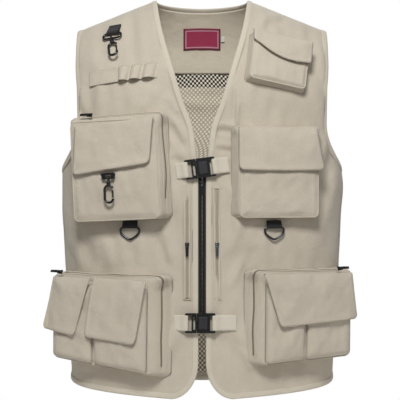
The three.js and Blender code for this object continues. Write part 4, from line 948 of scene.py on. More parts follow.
# the facing: a patch inside the yoke, tucked in from the neck and armhole edges
facingSpec = {"foot": -112.0, "inset": 7.0, "shoulderRun": 4.0, "thick": 0.8, "rows": 50, "halfCols": 70,
              "hang": 2.0, "hangMore": 2.2, "ripple": 0.35}
neckInner = (edgeLoop[-len(backNeckLine):] + edgeIn[-len(backNeckLine):] * facingSpec["inset"]).copy()
arm = spotsAlong(behind(armLoop[:nArm] + armIn[:nArm] * facingSpec["inset"]), 400)
arm = arm[torso(arm)[:, 2] > facingSpec["foot"]][::-1].copy()
neckInner[0, 0], neckInner[-1, 1], arm[-1, 1] = np.pi, facingSpec["shoulderRun"], facingSpec["shoulderRun"]
top = spotsAlong(np.concatenate([neckInner, straightSpots(neckInner[-1], arm[-1], 30)[1:]]),
                 facingSpec["halfCols"])
right = spotsAlong(arm, facingSpec["rows"])
top[-1] = right[-1]
foot = levelLine(facingSpec["foot"], right[0], facingSpec["halfCols"])
spots = wholeBack(patch(straightSpots(foot[0], top[0], facingSpec["rows"]), right, foot, top))
x, z = torso(spots)[..., 0], torso(spots)[..., 2]
hang = -facingSpec["hang"] - facingSpec["hangMore"] * ease(-z, 60, -facingSpec["foot"])
hang += facingSpec["ripple"] * waves(x, z, 61, 60) * edgeFade(z.shape, 0.1)
outer, normal, cloth = clothPanel(spots, hang, facingSpec["thick"])
inside = outer - normal * facingSpec["thick"]
seam = stitches(inside[3] - normal[3] * 0.15, -normal[3])
facing = addPiece("back_yoke_facing", [cloth, (seam, stitchThread)], innerCloth)
print("stage: back, yoke, lining")

# bindings: a folded tape carried round the edges; (distance in from the edge, height off the cloth)
tape = {"section": [(8.7, 0.25), (8.3, 1.0), (7.1, 0.85), (5.0, 1.25), (2.4, 1.25), (0.7, 0.9), (-0.25, 0.0),
                    (-0.35, -0.8), (0.3, -1.7), (2.6, -2.1), (6.8, -1.9), (8.5, -1.3)],
        "wide": 8.5, "stitchAt": 7.0, "stitchUp": 0.95, "pucker": 0.16, "puckerStep": 5.2}


def binding(name, loop, inward, node):
    # the tape's section carried round a loop of spots, puckered by its stitches
    section = np.array(tape["section"])
    run = lengthAlong(torso(loop))
    pucker = tape["pucker"] * (np.sin(2 * np.pi * run / tape["puckerStep"]) + waves(run, run * 0, 71, 40))
    spots = loop[:, None] + inward[:, None] * section[None, :, :1]
    swell = np.sin(np.pi * np.clip(section[:, 0] / tape["wide"], 0, 1))
    points = onCloth(spots, section[None, :, 1]
                     + np.sign(section[:, 1])[None] * pucker[:, None] * swell[None])
    wrap = np.append(0, np.cumsum(np.linalg.norm(np.diff(section, axis=0), axis=1)))
    uv = np.stack(np.broadcast_arrays(run[:, None], wrap[None]), -1).reshape(-1, 2)
    rows, cols = points.shape[:2]
    ring = partOf(points.reshape(-1, 3), gridQuads(rows, cols, wrapRows=True, wrapCols=True), uv=uv)
    path = loop + inward * tape["stitchAt"]
    thread = stitches(onCloth(path, tape["stitchUp"]), normalAt(path))
    addPiece(name, [ring, (thread, stitchThread)], bindingCloth, replaces=[node])


binding("edge_binding_tape", edgeLoop, edgeIn, "edge_binding")
binding("left_armhole_tape", armLoop, armIn, "left_armhole_binding")
binding("right_armhole_tape", mirrored(armLoop), mirrored(armIn), "right_armhole_binding")

# woven label inside the yoke, with a small folded size tab at its side
sizeTab = {"gap": 0.8, "halfWide": 3.2, "halfTall": 4.5, "drop": 54.0, "front": -4.3, "back": -3.5}


def welded(back, front):
    # the back grid with the front's border points, so that a slab closes there
    back = back.copy()
    back[[0, -1]], back[:, [0, -1]] = front[[0, -1]], front[:, [0, -1]]
    return back


u, v = np.meshgrid(np.linspace(-1, 1, 33), np.linspace(-1, 1, 21))
arch = labelSpec["arch"] * (1 - u * u)
labelX = labelSpec["width"] / 2 * u
labelZ = -labelSpec["top"] - labelSpec["height"] / 2 * (1 - v) + arch
spots = behind(frontSpot(labelX, labelZ))
lift = -labelSpec["depth"] + 0.25 * waves(labelX, labelZ, 81, 30)
front = onCloth(spots, lift - labelSpec["thick"])
back = welded(onCloth(spots, lift), front)
uv = np.stack([labelX, labelZ + labelSpec["top"] + labelSpec["height"] / 2 - arch], -1)
tabU, tabV = np.meshgrid(np.linspace(-1, 1, 9), np.linspace(-1, 1, 9))
tabX = labelSpec["width"] / 2 + sizeTab["gap"] + sizeTab["halfWide"] * (1 + tabU)
tabSpots = behind(frontSpot(tabX, -sizeTab["drop"] + sizeTab["halfTall"] * tabV))
tabFront = onCloth(tabSpots, np.full(tabX.shape, sizeTab["front"]))
tabBack = welded(onCloth(tabSpots, np.full(tabX.shape, sizeTab["back"])), tabFront)
addPiece("woven_label_satin", [slab(front, back, uv), (slab(tabFront, tabBack), whiteTape)], labelSatin,
         replaces=["woven_label"])
print("stage: bindings and label")


# seats: frames on the cloth whose -Y points straight out of it
def rotation(turnX, turnY, turnZ):
    # Rz Rx Ry
    cx, sx, cy, sy = math.cos(turnX), math.sin(turnX), math.cos(turnY), math.sin(turnY)
    cz, sz = math.cos(turnZ), math.sin(turnZ)
    aboutX = np.array([[1, 0, 0], [0, cx, -sx], [0, sx, cx]])
    aboutY = np.array([[cy, 0, sy], [0, 1, 0], [-sy, 0, cy]])
    aboutZ = np.array([[cz, -sz, 0], [sz, cz, 0], [0, 0, 1]])
    return aboutZ @ aboutX @ aboutY


def seatAt(x, z, roll=0.0):
    # a frame on the front at (x, z), turned to the normal and rolled about it
    spot = frontSpot(x, z)
    n = normalAt(spot)
    return torso(spot), rotation(-math.asin(n[2]), math.radians(roll), math.atan2(n[0], -n[1]))


def toWorld(seat, points):
    # place + rotation points
    return seat[0] + points @ seat[1].T


def childSeat(seat, place, turn=np.eye(3)):
    # a seat at a place within another, turned by turn
    return toWorld(seat, np.asarray(place, float)), seat[1] @ turn


def clothBehind(seat, x, z, gap=1.2, limit=14.0):
    # bisection along the seat's Y: the furthest back a point may go and stay in front of the cloth
    out, back = np.full(x.shape, -90.0), np.full(x.shape, float(limit))
    for _ in range(18):
        middle = (out + back) / 2
        p = toWorld(seat, np.stack([x, middle, z], -1))
        spot = frontSpot(p[..., 0], p[..., 2])
        level = np.where(np.abs(p[..., 0]) >= halfAt(dropOf(spot[..., 1])), np.inf, torso(spot)[..., 1])
        clear = p[..., 1] < level - gap
        out, back = np.where(clear, middle, out), np.where(clear, back, middle)
    return out


# how the side walls and the top wall run: share along the wall, how far out, how far back
wallTable = np.array([
    [0, 0, 0], [0.08, 0.14, 0.02], [0.16, 0.26, 0.08], [0.28, 0.40, 0.22],
    [0.42, 0.54, 0.40], [0.58, 0.68, 0.60],
    [0.74, 0.82, 0.79], [0.88, 0.93, 0.93], [1, 1, 1]])
topTable = np.array([[0, 0, 0], [0.12, 0.3, 0.02], [0.3, 0.68, 0.09], [0.5, 0.93, 0.2],
                     [0.68, 1, 0.4], [1, 1, 1]])
wallSteps = np.array([0.06, 0.13, 0.21, 0.29, 0.36, 0.41, 0.455, 0.5,
                      0.545, 0.59, 0.64, 0.71, 0.79, 0.88, 1.0])
bagLines = np.concatenate([-1 - wallSteps[::-1], np.linspace(-1, 1, 61), 1 + wallSteps])

# one row of values for each bag: place, size, how far its front is set in from its base, corner radii,
# how much it swells, and where its zip starts and ends round the wall
bags = {
    "right_chest_bag": {
        "x": -127, "z": -277, "roll": -2.5, "width": 156, "height": 166, "depth": 32, "limit": 14,
        "margins": (4, 12, 1, 9), "corner": 9, "baseCorner": 9, "crown": 3.5, "recess": 2.0, "slant": 0,
        "seed": 101, "zipFrom": (-0.5, 1), "zipTo": (1, -0.62)},
    "left_chest_pocket": {
        "x": 115, "z": -284, "roll": 0, "width": 140, "height": 144, "depth": 25, "limit": 14,
        "margins": (9, 4, 1, 4), "corner": 8, "baseCorner": 8, "crown": 3.0, "recess": 1.5, "slant": 0,
        "seed": 111},
    "left_top_pocket": {
        "x": 120, "z": -110, "roll": 12, "width": 100, "height": 84, "depth": 17, "limit": 10,
        "margins": (4, 4, 2, 3), "corner": 7, "baseCorner": 6, "crown": 2.4, "recess": 1.2, "slant": 0,
        "seed": 121},
    "right_cargo_bag": {
        "x": -143, "z": -525, "roll": 1, "width": 194, "height": 162, "depth": 33, "limit": 24,
        "margins": (4, 27, 2, 10), "corner": 9, "baseCorner": 10, "crown": 3.0, "recess": 9.0, "slant": 26,
        "seed": 131, "zipFrom": (-0.8, 1), "zipTo": (1, -0.78)},
    "left_cargo_bag": {
        "x": 153, "z": -513, "roll": 0, "width": 178, "height": 152, "depth": 33, "limit": 24,
        "margins": (20, 6, 2, 9), "corner": 9, "baseCorner": 10, "crown": 3.0, "recess": 9.0, "slant": -12,
        "seed": 141, "zipFrom": (0.7, 1), "zipTo": (-1, -0.78)},
}


def roundedRect(u, v, halfW, halfH, radius):
    # the square's point (u, v), with the corners drawn onto quarter circles
    reach = np.maximum(np.maximum(np.abs(u), np.abs(v)), 1e-6)
    px, pz, r = u * halfW, v * halfH, radius * reach
    qx = np.clip(px, r - reach * halfW, reach * halfW - r)
    qz = np.clip(pz, r - reach * halfH, reach * halfH - r)
    dx, dz = px - qx, pz - qz
    size = np.hypot(dx, dz)
    pull = np.where(size > r, r / np.maximum(size, 1e-6), 1.0)
    return qx + dx * pull, qz + dz * pull


def bagFrame(bag):
    # the front face's centre and half-sizes, inside its margins
    left, right, low, top = bag["margins"]
    halfW, halfH = bag["width"] / 2, bag["height"] / 2
    return (left - right) / 2, (low - top) / 2, halfW - (left + right) / 2, halfH - (low + top) / 2


# broad and fine waves of a bag's front, its fall near the rim, and how much its walls sag
faceSpec = {"broad": 0.9, "broadSize": 55, "fine": 0.4, "fineSize": 20, "rimFall": 2.6, "wallSag": 0.9}
groove = {"deep": 0.9, "lip": 0.5, "middle": 0.5, "lipAt": 0.13, "soft": 0.05}


def faceLevel(bag, x, z):
    # depth of the front cloth: crowned in the middle, falling away near its rim
    cx, cz, hw, hh = bagFrame(bag)
    u, v = np.clip((x - cx) / hw, -1, 1), np.clip((z - cz) / hh, -1, 1)
    reach = np.maximum(np.abs(u), np.abs(v))
    swell = bag["crown"] * (1 - u * u) * (1 - v * v) * (1 - 0.3 * v)
    soft = faceSpec["broad"] * waves(x, z, bag["seed"], faceSpec["broadSize"])
    soft += faceSpec["fine"] * waves(x, z, bag["seed"] + 1, faceSpec["fineSize"], tall=1.6)
    fall = faceSpec["rimFall"] * ease(reach, 0.86, 1.0) - soft * (1 - ease(reach, 0.8, 1))
    return fall - (bag["depth"] - bag["recess"] - bag["crown"] + swell)


def leaning(bag, x, z, v):
    # the bottom edge climbs to one side: z += slant (1 - side x / half) / 2 (1 - v) / 2
    side = np.sign(bag["slant"]) if bag["slant"] else 1
    share = (1 - side * x / (bag["width"] / 2)) / 2
    return z + abs(bag["slant"]) * np.clip(share, 0, 1) * (1 - v) / 2


def bagPoints(bag, u, v):
    # |u|, |v| <= 1 is the front; from 1 to 2 the wall runs out and back to the cloth
    cx, cz, hw, hh = bagFrame(bag)
    reach = np.maximum(np.abs(u), np.abs(v))
    over = np.clip(reach - 1, 0, 1)
    du, dv = u / np.maximum(reach, 1), v / np.maximum(reach, 1)
    fx, fz = roundedRect(du, dv, hw, hh, bag["corner"])
    fx, fz = fx + cx, fz + cz
    bx, bz = roundedRect(du, dv, bag["width"] / 2, bag["height"] / 2, bag["baseCorner"])
    out = np.interp(over, wallTable[:, 0], wallTable[:, 1])
    deep = np.interp(over, wallTable[:, 0], wallTable[:, 2])
    onTop = ease(dv, 0.75, 1.0)
    out += (np.interp(over, topTable[:, 0], topTable[:, 1]) - out) * onTop
    deep += (np.interp(over, topTable[:, 0], topTable[:, 2]) - deep) * onTop
    sunk = np.zeros(over.shape)
    if "zipFrom" in bag:
        # the zip lies in a groove round the wall, with a raised lip on each side of it
        off = np.abs(over - groove["middle"])
        sunk = groove["deep"] * np.exp(-(off / groove["soft"]) ** 2)
        sunk -= groove["lip"] * np.exp(-((off - groove["lipAt"]) / groove["soft"]) ** 2)
        sunk *= 1 - ease(-dv, 0.8, 0.95)
    fx, fz, bx, bz = fx - du * sunk, fz - dv * sunk, bx - du * sunk, bz - dv * sunk
    level = faceLevel(bag, fx, fz) + sunk
    foot = clothBehind(bag["seat"], bx, leaning(bag, bx, bz, dv), limit=bag["limit"])
    sag = faceSpec["wallSag"] * waves(bx + du * 9, bz + dv * 9, bag["seed"] + 3, 90) * np.sin(np.pi * over)
    x, z = fx + (bx - fx) * out + du * sag, fz + (bz - fz) * out + dv * sag
    y = level + (foot - level) * deep
    return np.stack([x, y, leaning(bag, x, z, dv)], -1)


def bagShell(bag):
    # front and walls from bagPoints, and a back that lies on the cloth
    u, v = np.meshgrid(bagLines, bagLines)
    front = bagPoints(bag, u, v)
    bx, bz = roundedRect(u / 2, v / 2, bag["width"] / 2, bag["height"] / 2, bag["baseCorner"])
    bz = leaning(bag, bx, bz, v / 2)
    by = np.maximum(clothBehind(bag["seat"], bx, bz, limit=bag["limit"]), front[..., 1] + 0.5)
    # on the walls the weave runs on, 12 mm for each step of the grid's side
    uv = np.stack([front[..., 0] + np.where(np.abs(u) > 1, u * 12, 0),
                   front[..., 2] + np.where(np.abs(v) > 1, v * 12, 0)], -1)
    return slab(front, welded(np.stack([bx, by, bz], -1), front), uv)


def squarePath(start, end, level, count=160):
    # from one point of the unit square's border to another through its corner, then out to a wall level
    return resample(np.array([start, (end[0], start[1]), end], float), count) * level


def outlinePath(level, count=240):
    # the square's border times a level, from the middle of its right side
    ring = np.array([(1, 0), (1, 1), (-1, 1), (-1, -1), (1, -1), (1, 0)], float)
    return resample(ring, count + 1)[:-1] * level


def wallNormals(points, middle):
    # away from the middle of the bag, leaning to the front
    flat = points - middle
    flat = flat * np.array([1, 0.25, 1])
    return unit(flat + np.array([0, -30.0, 0]))


def faceStitches(bag, level):
    # a row of thread just inside the front's edge, closed on itself
    line = outlinePath(level, 260)
    points = bagPoints(bag, line[:, 0], line[:, 1])
    return stitches(np.concatenate([points, points[:1]]) + np.array([0, -0.15, 0]),
                    np.broadcast_to([0.0, -1.0, 0.0], (261, 3)))


def piping(bag, level, radius):
    # a cord laid in the seam round the front's edge
    line = outlinePath(level, 240)
    points = bagPoints(bag, line[:, 0], line[:, 1])
    return sweep(points, (0, -1, 0), circle(radius, 8), closed=True)


zipSpec = {"level": 1.5, "edge": 0.187, "pitch": 2.0, "tooth": (3.4, 1.5, 2.0), "cord": 0.75, "rise": 0.35,
           "tape": [(-2.6, 0.0), (2.6, 0.0), (2.6, 0.45), (-2.6, 0.45)]}


def bagZip(bag):
    # two tape edges and a row of coil along the wall, from the slider round one corner
    cx, cz = bagFrame(bag)[:2]
    middle = np.array([cx, -bag["depth"] / 2, cz])
    parts = []
    for step in (-1, 1):
        line = squarePath(bag["zipFrom"], bag["zipTo"], zipSpec["level"] + step * zipSpec["edge"])
        points = bagPoints(bag, line[:, 0], line[:, 1])
        parts.append((sweep(points, (0, -1, 0), circle(zipSpec["cord"], 6)), shellCloth))
    line = squarePath(bag["zipFrom"], bag["zipTo"], zipSpec["level"], 400)
    points = bagPoints(bag, line[:, 0], line[:, 1])
    at = resample(points, int(lengthAlong(points)[-1] / zipSpec["pitch"]))
    outward = wallNormals(at, middle)
    across = np.cross(unit(np.gradient(at, axis=0)), outward)
    # the beige zip's coil and tape, darkened with painted shade where they run round the bag's wall
    parts.append((beads(at + outward * zipSpec["rise"], across, outward, zipSpec["tooth"]), coilBeigeShaded))
    wide = resample(points, 160)
    parts.append((sweep(wide, wallNormals(wide, middle), zipSpec["tape"]), beigeTapeShaded))
    return parts


def patchPocket(bag, left, right, low, top, rise, radius, seed):
    # an outer pouch sewn on the bag's front: rise sqrt(1 - reach^14), with soft waves
    u, v = np.meshgrid(np.linspace(-1, 1, 49), np.linspace(-1, 1, 49))
    x, z = roundedRect(u, v, (right - left) / 2, (top - low) / 2, radius)
    x, z = x + (left + right) / 2, z + (low + top) / 2
    reach = np.maximum(np.abs(u), np.abs(v))
    swell = rise * (1 - reach ** 14) ** 0.5 * (0.82 + 0.18 * (1 - u * u))
    soft = (1.0 * waves(x, z, seed, 42) + 0.4 * waves(x, z, seed + 1, 16, tall=1.6)) * (1 - reach ** 4)
    lean = leaning(bag, x, z, np.clip(z / (bag["height"] / 2), -1, 1))
    level = faceLevel(bag, x, z)
    front = np.stack([x, level - swell - soft, lean], -1)
    back = welded(np.stack([x, level + 0.4, lean], -1), front)
    thread = np.stack([np.interp(u[0] * 0.93, u[0], front[3, :, k]) for k in range(3)], -1)
    seam = stitches(thread + np.array([0, -0.2, 0]), np.broadcast_to([0, -1.0, -0.4], thread.shape))
    return [slab(front, back, np.stack([x, z], -1)), (seam, stitchThread)]


flapSpec = {"rows": 45, "cols": 61, "gap": 1.7, "thick": 2.2, "fall": 0.24, "power": 6, "hem": 0.8,
            "hemAt": 0.05, "edge": 0.035, "broad": 0.8, "fine": 0.3}


def flap(bag, name, corners, seed, radius, curl=2.0, arc=0.0):
    # corners are shares of the bag's half-size; its depth follows the pocket's: d (1 - 0.24 reach^6),
    # plus a curl of t^3 / 2, soft waves and a raised hem; radius rounds the two lower corners
    rows, cols = flapSpec["rows"], flapSpec["cols"]
    s, t = np.meshgrid(np.linspace(-1, 1, cols), np.linspace(0, 1, rows))
    (tlx, tlz), (trx, trz), (flx, flz), (frx, frz) = corners
    curve = 1 - np.sqrt(np.clip(1 - np.clip((t - (1 - radius[1])) / radius[1], 0, 1) ** 2, 0, 1))
    share = (1 + s * (1 - radius[0] * 2 * curve)) / 2
    bow = arc * np.sin(np.pi * share) * t
    u = (tlx + (trx - tlx) * share) * (1 - t) + (flx + (frx - flx) * share) * t
    v = (tlz + (trz - tlz) * share) * (1 - t) + (flz + (frz - flz) * share) * t + bow
    reach = np.clip(np.maximum(np.abs(u), np.abs(v)), 0, 1)
    x, z = bag["width"] / 2 * u, bag["height"] / 2 * v
    base = -bag["depth"] * (1 - flapSpec["fall"] * reach ** flapSpec["power"]) - flapSpec["gap"]
    edge = np.minimum(1 - np.abs(s), 1 - t)
    soft = flapSpec["broad"] * waves(x, z, seed, 46) + flapSpec["fine"] * waves(x, z, seed + 1, 18, tall=1.6)
    hem = flapSpec["hem"] * np.exp(-((edge - flapSpec["hemAt"]) / flapSpec["hemAt"]) ** 2)
    lift = curl * t ** 3 * 0.5 + soft * ease(edge, 0, 0.25) + hem
    rounding = np.sqrt(np.clip(1 - (1 - np.clip(edge / flapSpec["edge"], 0, 1)) ** 2, 0, 1))
    front = np.stack([x, base - lift - flapSpec["thick"] * (0.3 + 0.7 * rounding), z], -1)
    back = welded(np.stack([x, base - lift * 0.4 - 0.3 * (1 - rounding), z], -1), front)
    # the thread goes down one side, along the foot and up the other, a few grid steps in
    down, along = np.arange(rows - 5), np.arange(4, cols - 4)
    row = np.concatenate([down, np.full(len(along), rows - 5), down[::-1]])
    col = np.concatenate([np.full(rows - 5, 3), along, np.full(rows - 5, cols - 4)])
    out = gridNormals(front)
    out = out * -np.sign(out[..., 1:2] + 1e-9)
    thread = stitches(front[row, col] + np.array([0, -0.1, 0]), out[row, col])
    plate = slab(front, back, np.stack([x, z], -1))
    parts = [moved(plate, bag["seat"]), (moved(thread, bag["seat"]), stitchThread)]
    addPiece(name + "_cloth", parts, shellCloth, body=bodyOf[name], replaces=[name])


def addBag(name, extra=()):
    # a bag's shell, piping and stitches, its zip, and any pouches on its front, placed on its seat
    bag = bags[name]
    bag["seat"] = seatAt(bag["x"], bag["z"], bag["roll"])
    parts = [bagShell(bag), piping(bag, 1.0, 0.95), (faceStitches(bag, 0.955), stitchThread)]
    if "zipFrom" in bag:
        parts += bagZip(bag)
    for spec in extra:
        parts += patchPocket(bag, **spec)
    placed = [(moved(p[0], bag["seat"]), p[1]) if isinstance(p, tuple) else moved(p, bag["seat"])
              for p in parts]
    addPiece(name + "_cloth", placed, shellCloth, replaces=[name])
    return bag


chestBag = addBag("right_chest_bag")
flap(chestBag, "right_chest_bag_flap", [(-0.83, 0.79), (0.83, 0.92), (-0.93, -0.12), (0.72, 0.04)], 161,
     radius=(0.07, 0.12))
chestPocket = addBag("left_chest_pocket")
flap(chestPocket, "left_chest_pocket_flap", [(-0.93, 0.96), (0.89, 0.96), (-0.93, 0.04), (1.09, 0.04)], 162,
     radius=(0.06, 0.13), arc=-0.02)
topPocket = addBag("left_top_pocket")
flap(topPocket, "left_top_pocket_flap", [(-1, 0.96), (1.02, 0.96), (-0.96, 0.56), (1.02, 0.08)], 163,
     radius=(0.04, 0.12), curl=1.0, arc=-0.3)
rightCargo = addBag("right_cargo_bag", [
    {"left": -92, "right": -23, "low": -78, "top": 62, "rise": 8.5, "radius": 6, "seed": 154},
    {"left": -19, "right": 69, "low": -78, "top": 62, "rise": 9.0, "radius": 6, "seed": 155}])
flap(rightCargo, "right_cargo_outer_flap", [(-0.91, 0.93), (-0.24, 0.93), (-1.12, -0.1), (-0.5, -0.22)], 164,
     radius=(0.1, 0.12))
flap(rightCargo, "right_cargo_inner_flap", [(-0.19, 0.93), (0.75, 0.91), (-0.33, -0.22), (0.57, -0.34)], 165,
     radius=(0.08, 0.12))
leftCargo = addBag("left_cargo_bag", [
    {"left": -68, "right": -3, "low": -73, "top": 58, "rise": 9.0, "radius": 6, "seed": 156},
    {"left": 1, "right": 82, "low": -73, "top": 58, "rise": 8.5, "radius": 6, "seed": 157}])
flap(leftCargo, "left_cargo_flap", [(-0.87, 0.93), (0.89, 0.93), (-0.56, -0.17), (1.03, -0.04)], 166,
     radius=(0.05, 0.1))
print("stage: bags, pockets and flaps")


# hard parts taken from the frame and softened at their edges
def refine(name, material, width=0.35, segments=2):
    # a copy of the frame's part with its doubles merged and its edges rounded by `width` millimetres
    source = nodes[name]
    mesh = source.data.copy()
    mesh.name = name + "_finished"
    obj = bpy.data.objects.new(name + "_finished", mesh)
    obj.matrix_world = source.matrix_world.copy()
    bpy.context.collection.objects.link(obj)
    mesh.materials.clear()
    mesh.materials.append(material)
    weld = obj.modifiers.new("weld", "WELD")
    weld.merge_threshold = 0.00002
    edge = obj.modifiers.new("edges", "BEVEL")
    edge.width, edge.segments = width * mm, segments
    edge.limit_method, edge.angle_limit = "ANGLE", math.radians(32)
    edge.harden_normals = False
    mesh.polygons.foreach_set("use_smooth", np.ones(len(mesh.polygons), bool))
    smooth = obj.modifiers.new("shade", "WEIGHTED_NORMAL")
    smooth.keep_sharp = True
    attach(obj, bodyOf[name])
    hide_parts(name)


for which in ("upper", "lower"):
    for partName in ("female", "male", "prong_top", "prong_bottom"):
        refine(f"{which}_buckle_{partName}", blackPlastic, 0.5)
for zipName in ("main_zip", "right_welt_zip", "left_welt_zip", "right_chest_bag", "right_cargo_bag",
                "left_cargo_bag"):
    shiny = gunmetal if zipName == "left_welt_zip" else blackPaint
    refine(zipName + "_slider", shiny, 0.3)
    refine(zipName + "_pull", shiny, 0.3)
refine("pocket_clip_tab", blackPlastic, 0.5)

ribbonEdge = 0.3


def ribbonSection(wide, thick=1.2):
    # a flat section with pointed edges
    half, t, r = wide / 2, thick / 2, ribbonEdge
    xs = np.linspace(-half + r, half - r, 9)
    return np.concatenate([[(-half, 0)], np.stack([xs, np.full(9, -t)], -1), [(half, 0)],
                           np.stack([xs[::-1], np.full(9, t)], -1)])


def ribbonAlong(points, wide, axis, thick=1.2, step=1.0):
    # a flat strap: its middle line in the plane across `axis`, its width along that axis
    line = roundOff(points, passes=3)
    line = resample(line, max(int(lengthAlong(line)[-1] / step), 8))
    up = unit(np.cross(np.gradient(line, axis=0), axis))
    return sweep(line, up, ribbonSection(wide, thick))


def flatStitches(line):
    # thread on a flat piece, whose normal is -Y
    return stitches(line, np.broadcast_to([0, -1.0, 0], line.shape))


def boxStitches(x0, x1, halfZ, y):
    # a box of thread round the sewn end of a strap
    return flatStitches(np.array([(x0, y, -halfZ), (x1, y, -halfZ), (x1, y, halfZ), (x0, y, halfZ),
                                  (x0, y, -halfZ)], float))


straps = {"wide": 25.0, "thick": 1.3, "stitchHalf": 9.5, "fold": (1.0, 11.0),
          "upper": ((-3, -123.5, -278), -7.5, {"left": 45, "right": 38}),
          "lower": ((-3, -123.5, -521), 0.0, {"left": 57, "right": 41})}
for which in ("upper", "lower"):
    place, tilt, ends = straps[which]
    seat = (np.array(place, float), rotation(0, math.radians(tilt), 0))
    for side, name in ((1, "left"), (-1, "right")):
        far = ends[name]
        path = [(far, 3.6), (36, 3.3), (31, 1.6), (27.5, -0.9), (25.4, -2.3), (22, -2.9), (19.7, -2.2),
                (19.2, 0), (19.8, 2.3), (22.6, 2.7), (26.4, 3.4), (30.4, 5.1), (far - 5, 5.2)]
        line = np.array([(side * x, y, 0.0) for x, y in path])
        band = ribbonAlong(line, straps["wide"], (0, 0, 1.0), straps["thick"])
        half = straps["stitchHalf"]
        seams = [boxStitches(side * 31.5, side * (far - 2.5), half, 3.15),
                 boxStitches(side * (far - 6), side * (far - 5.9), half, 3.15)]
        # the root and the male half, with two points by the strap's seam, go to addPiece as bend, which only
        # leaves the strap unattached with its placement baked in
        fold = [tuple(moved({"points": np.array([(side * (far - back), 3.0, 0.0)])}, seat)["points"][0] * mm)
                for back in straps["fold"]]
        slack = ("root", f"{which}_buckle_male", *fold)
        addPiece(f"{which}_{name}_strap",
                 [moved(band, seat)] + [(moved(m, seat), stitchThread) for m in seams],
                 creamStrap, replaces=[f"{which}_{name}_webbing"],
                 bend=slack if side < 0 else None)
    # the woven-look panel let into the buckle's face
    u, v = np.meshgrid(np.linspace(-1, 1, 25), np.linspace(-1, 1, 25))
    x, z = roundedRect(u, v, 7.2, 10.2, 1.2)
    reach = np.maximum(np.abs(u), np.abs(v))
    rise = 0.5 * (1 - reach ** 12) ** 0.5
    front = np.stack([x + 4.6, -4.02 - rise, z], -1)
    back = np.stack([x + 4.6, -3.9 + 0 * rise, z], -1)
    back[[0, -1]], back[:, [0, -1]] = front[[0, -1]], front[:, [0, -1]]
    addPiece(f"{which}_buckle_panel", [moved(slab(front, back), seat)], insetPlastic)

# the zips: tape with its own weave, coil teeth, and for the welt pockets a folded lip on each side
zips = {"pitch": 1.5, "mainTooth": (2.6, 1.25, 1.5), "weltTooth": (3.0, 1.1, 1.1), "lip": 3.0}


def tapeStrip(x0, x1, z0, z1, y, thick=0.7):
    # a flat strip between four edges
    x, z = np.meshgrid(np.linspace(x0, x1, 7), np.linspace(z0, z1, 80))
    front, back = (np.stack([x, np.full(x.shape, level), z], -1) for level in (y, y + thick))
    back[[0, -1]], back[:, [0, -1]] = front[[0, -1]], front[:, [0, -1]]
    return slab(front, back, np.stack([x, z], -1))


def coilRow(x, z0, z1, y, size):
    # teeth one pitch apart up a line
    z = np.arange(z0, z1, zips["pitch"])
    centres = np.stack([np.full(z.shape, float(x)), np.full(z.shape, float(y)), z], -1)
    along, out = (np.broadcast_to(way, centres.shape) for way in ([1.0, 0, 0], [0, -1.0, 0]))
    return beads(centres, along, out, size)


for side, name in ((1, "left_zip_tape"), (-1, "right_zip_tape")):
    low, high = -511.0, -291.0
    edges = sorted((side * 0.25, side * 15.5))
    parts = [tapeStrip(*edges, low, high, -117.6, 0.9),
             (coilRow(side * 1.35, low + 1 + (0.75 if side > 0 else 0), high - 1, -118.0, zips["mainTooth"]),
              coilBlack)]
    addPiece(name + "_woven", parts, zipTape, replaces=[name])

weltHalf = 85.5
for side, name in ((-1, "right_welt_zip_tape"), (1, "left_welt_zip_tape")):
    seat = seatAt(side * 23.5, -397.0)
    part = [(tapeStrip(-4.6, 4.6, -weltHalf, weltHalf, -0.9, 0.6), beigeTape),
            (coilRow(0, -weltHalf + 1, weltHalf - 1, -1.15, zips["weltTooth"]), coilBeige)]
    for edge in (-1, 1):
        z = np.linspace(-weltHalf - 1, weltHalf + 1, 120)
        spread = 1.0 * ease(z, 20, weltHalf) if side > 0 else 0.0
        swayed = 3.9 + spread + 0.25 * waves(z, z * 0, 170 + edge + side, 40)
        line = np.stack([edge * swayed, np.full(z.shape, -1.0), z], -1)
        part.append((sweep(line, (0, -1.0, 0), [(-1.5, -0.7), (1.5, -0.7), (1.7, 0), (1.3, 0.75), (0, 1.0),
                                                (-1.3, 0.75), (-1.7, 0)]), shellCloth))
        seam = np.stack([edge * (swayed + 3.0), np.full(z.shape, -0.5), z], -1)
        part.append((stitches(seam, np.broadcast_to([0, -1.0, 0], seam.shape)), stitchThread))
    for end in (-1, 1):
        across = np.stack([np.linspace(-7.5, 7.5, 12), np.full(12, -0.9),
                           np.full(12, end * (weltHalf + 2))], -1)
        part.append((stitches(across, np.broadcast_to([0, -1.0, 0], across.shape)), stitchThread))
        part.append((sweep(across * np.array([0.8, 1, 1]), (0, -1.0, 0), circle(1.0, 8, 0.7)), shellCloth))
    addPiece(name + "_woven", [(moved(m, seat), mat) for m, mat in part], beigeTape, replaces=[name])

# tool loops: a strip sewn down flat at one end and puffed into three loops, deeper at their feet
loops = {"left": -58.0, "right": 58.0, "tall": 24.0, "rows": [(-7, 10), (13, 30), (34, 54)],
         "rise": 9.0, "lean": 0.22}


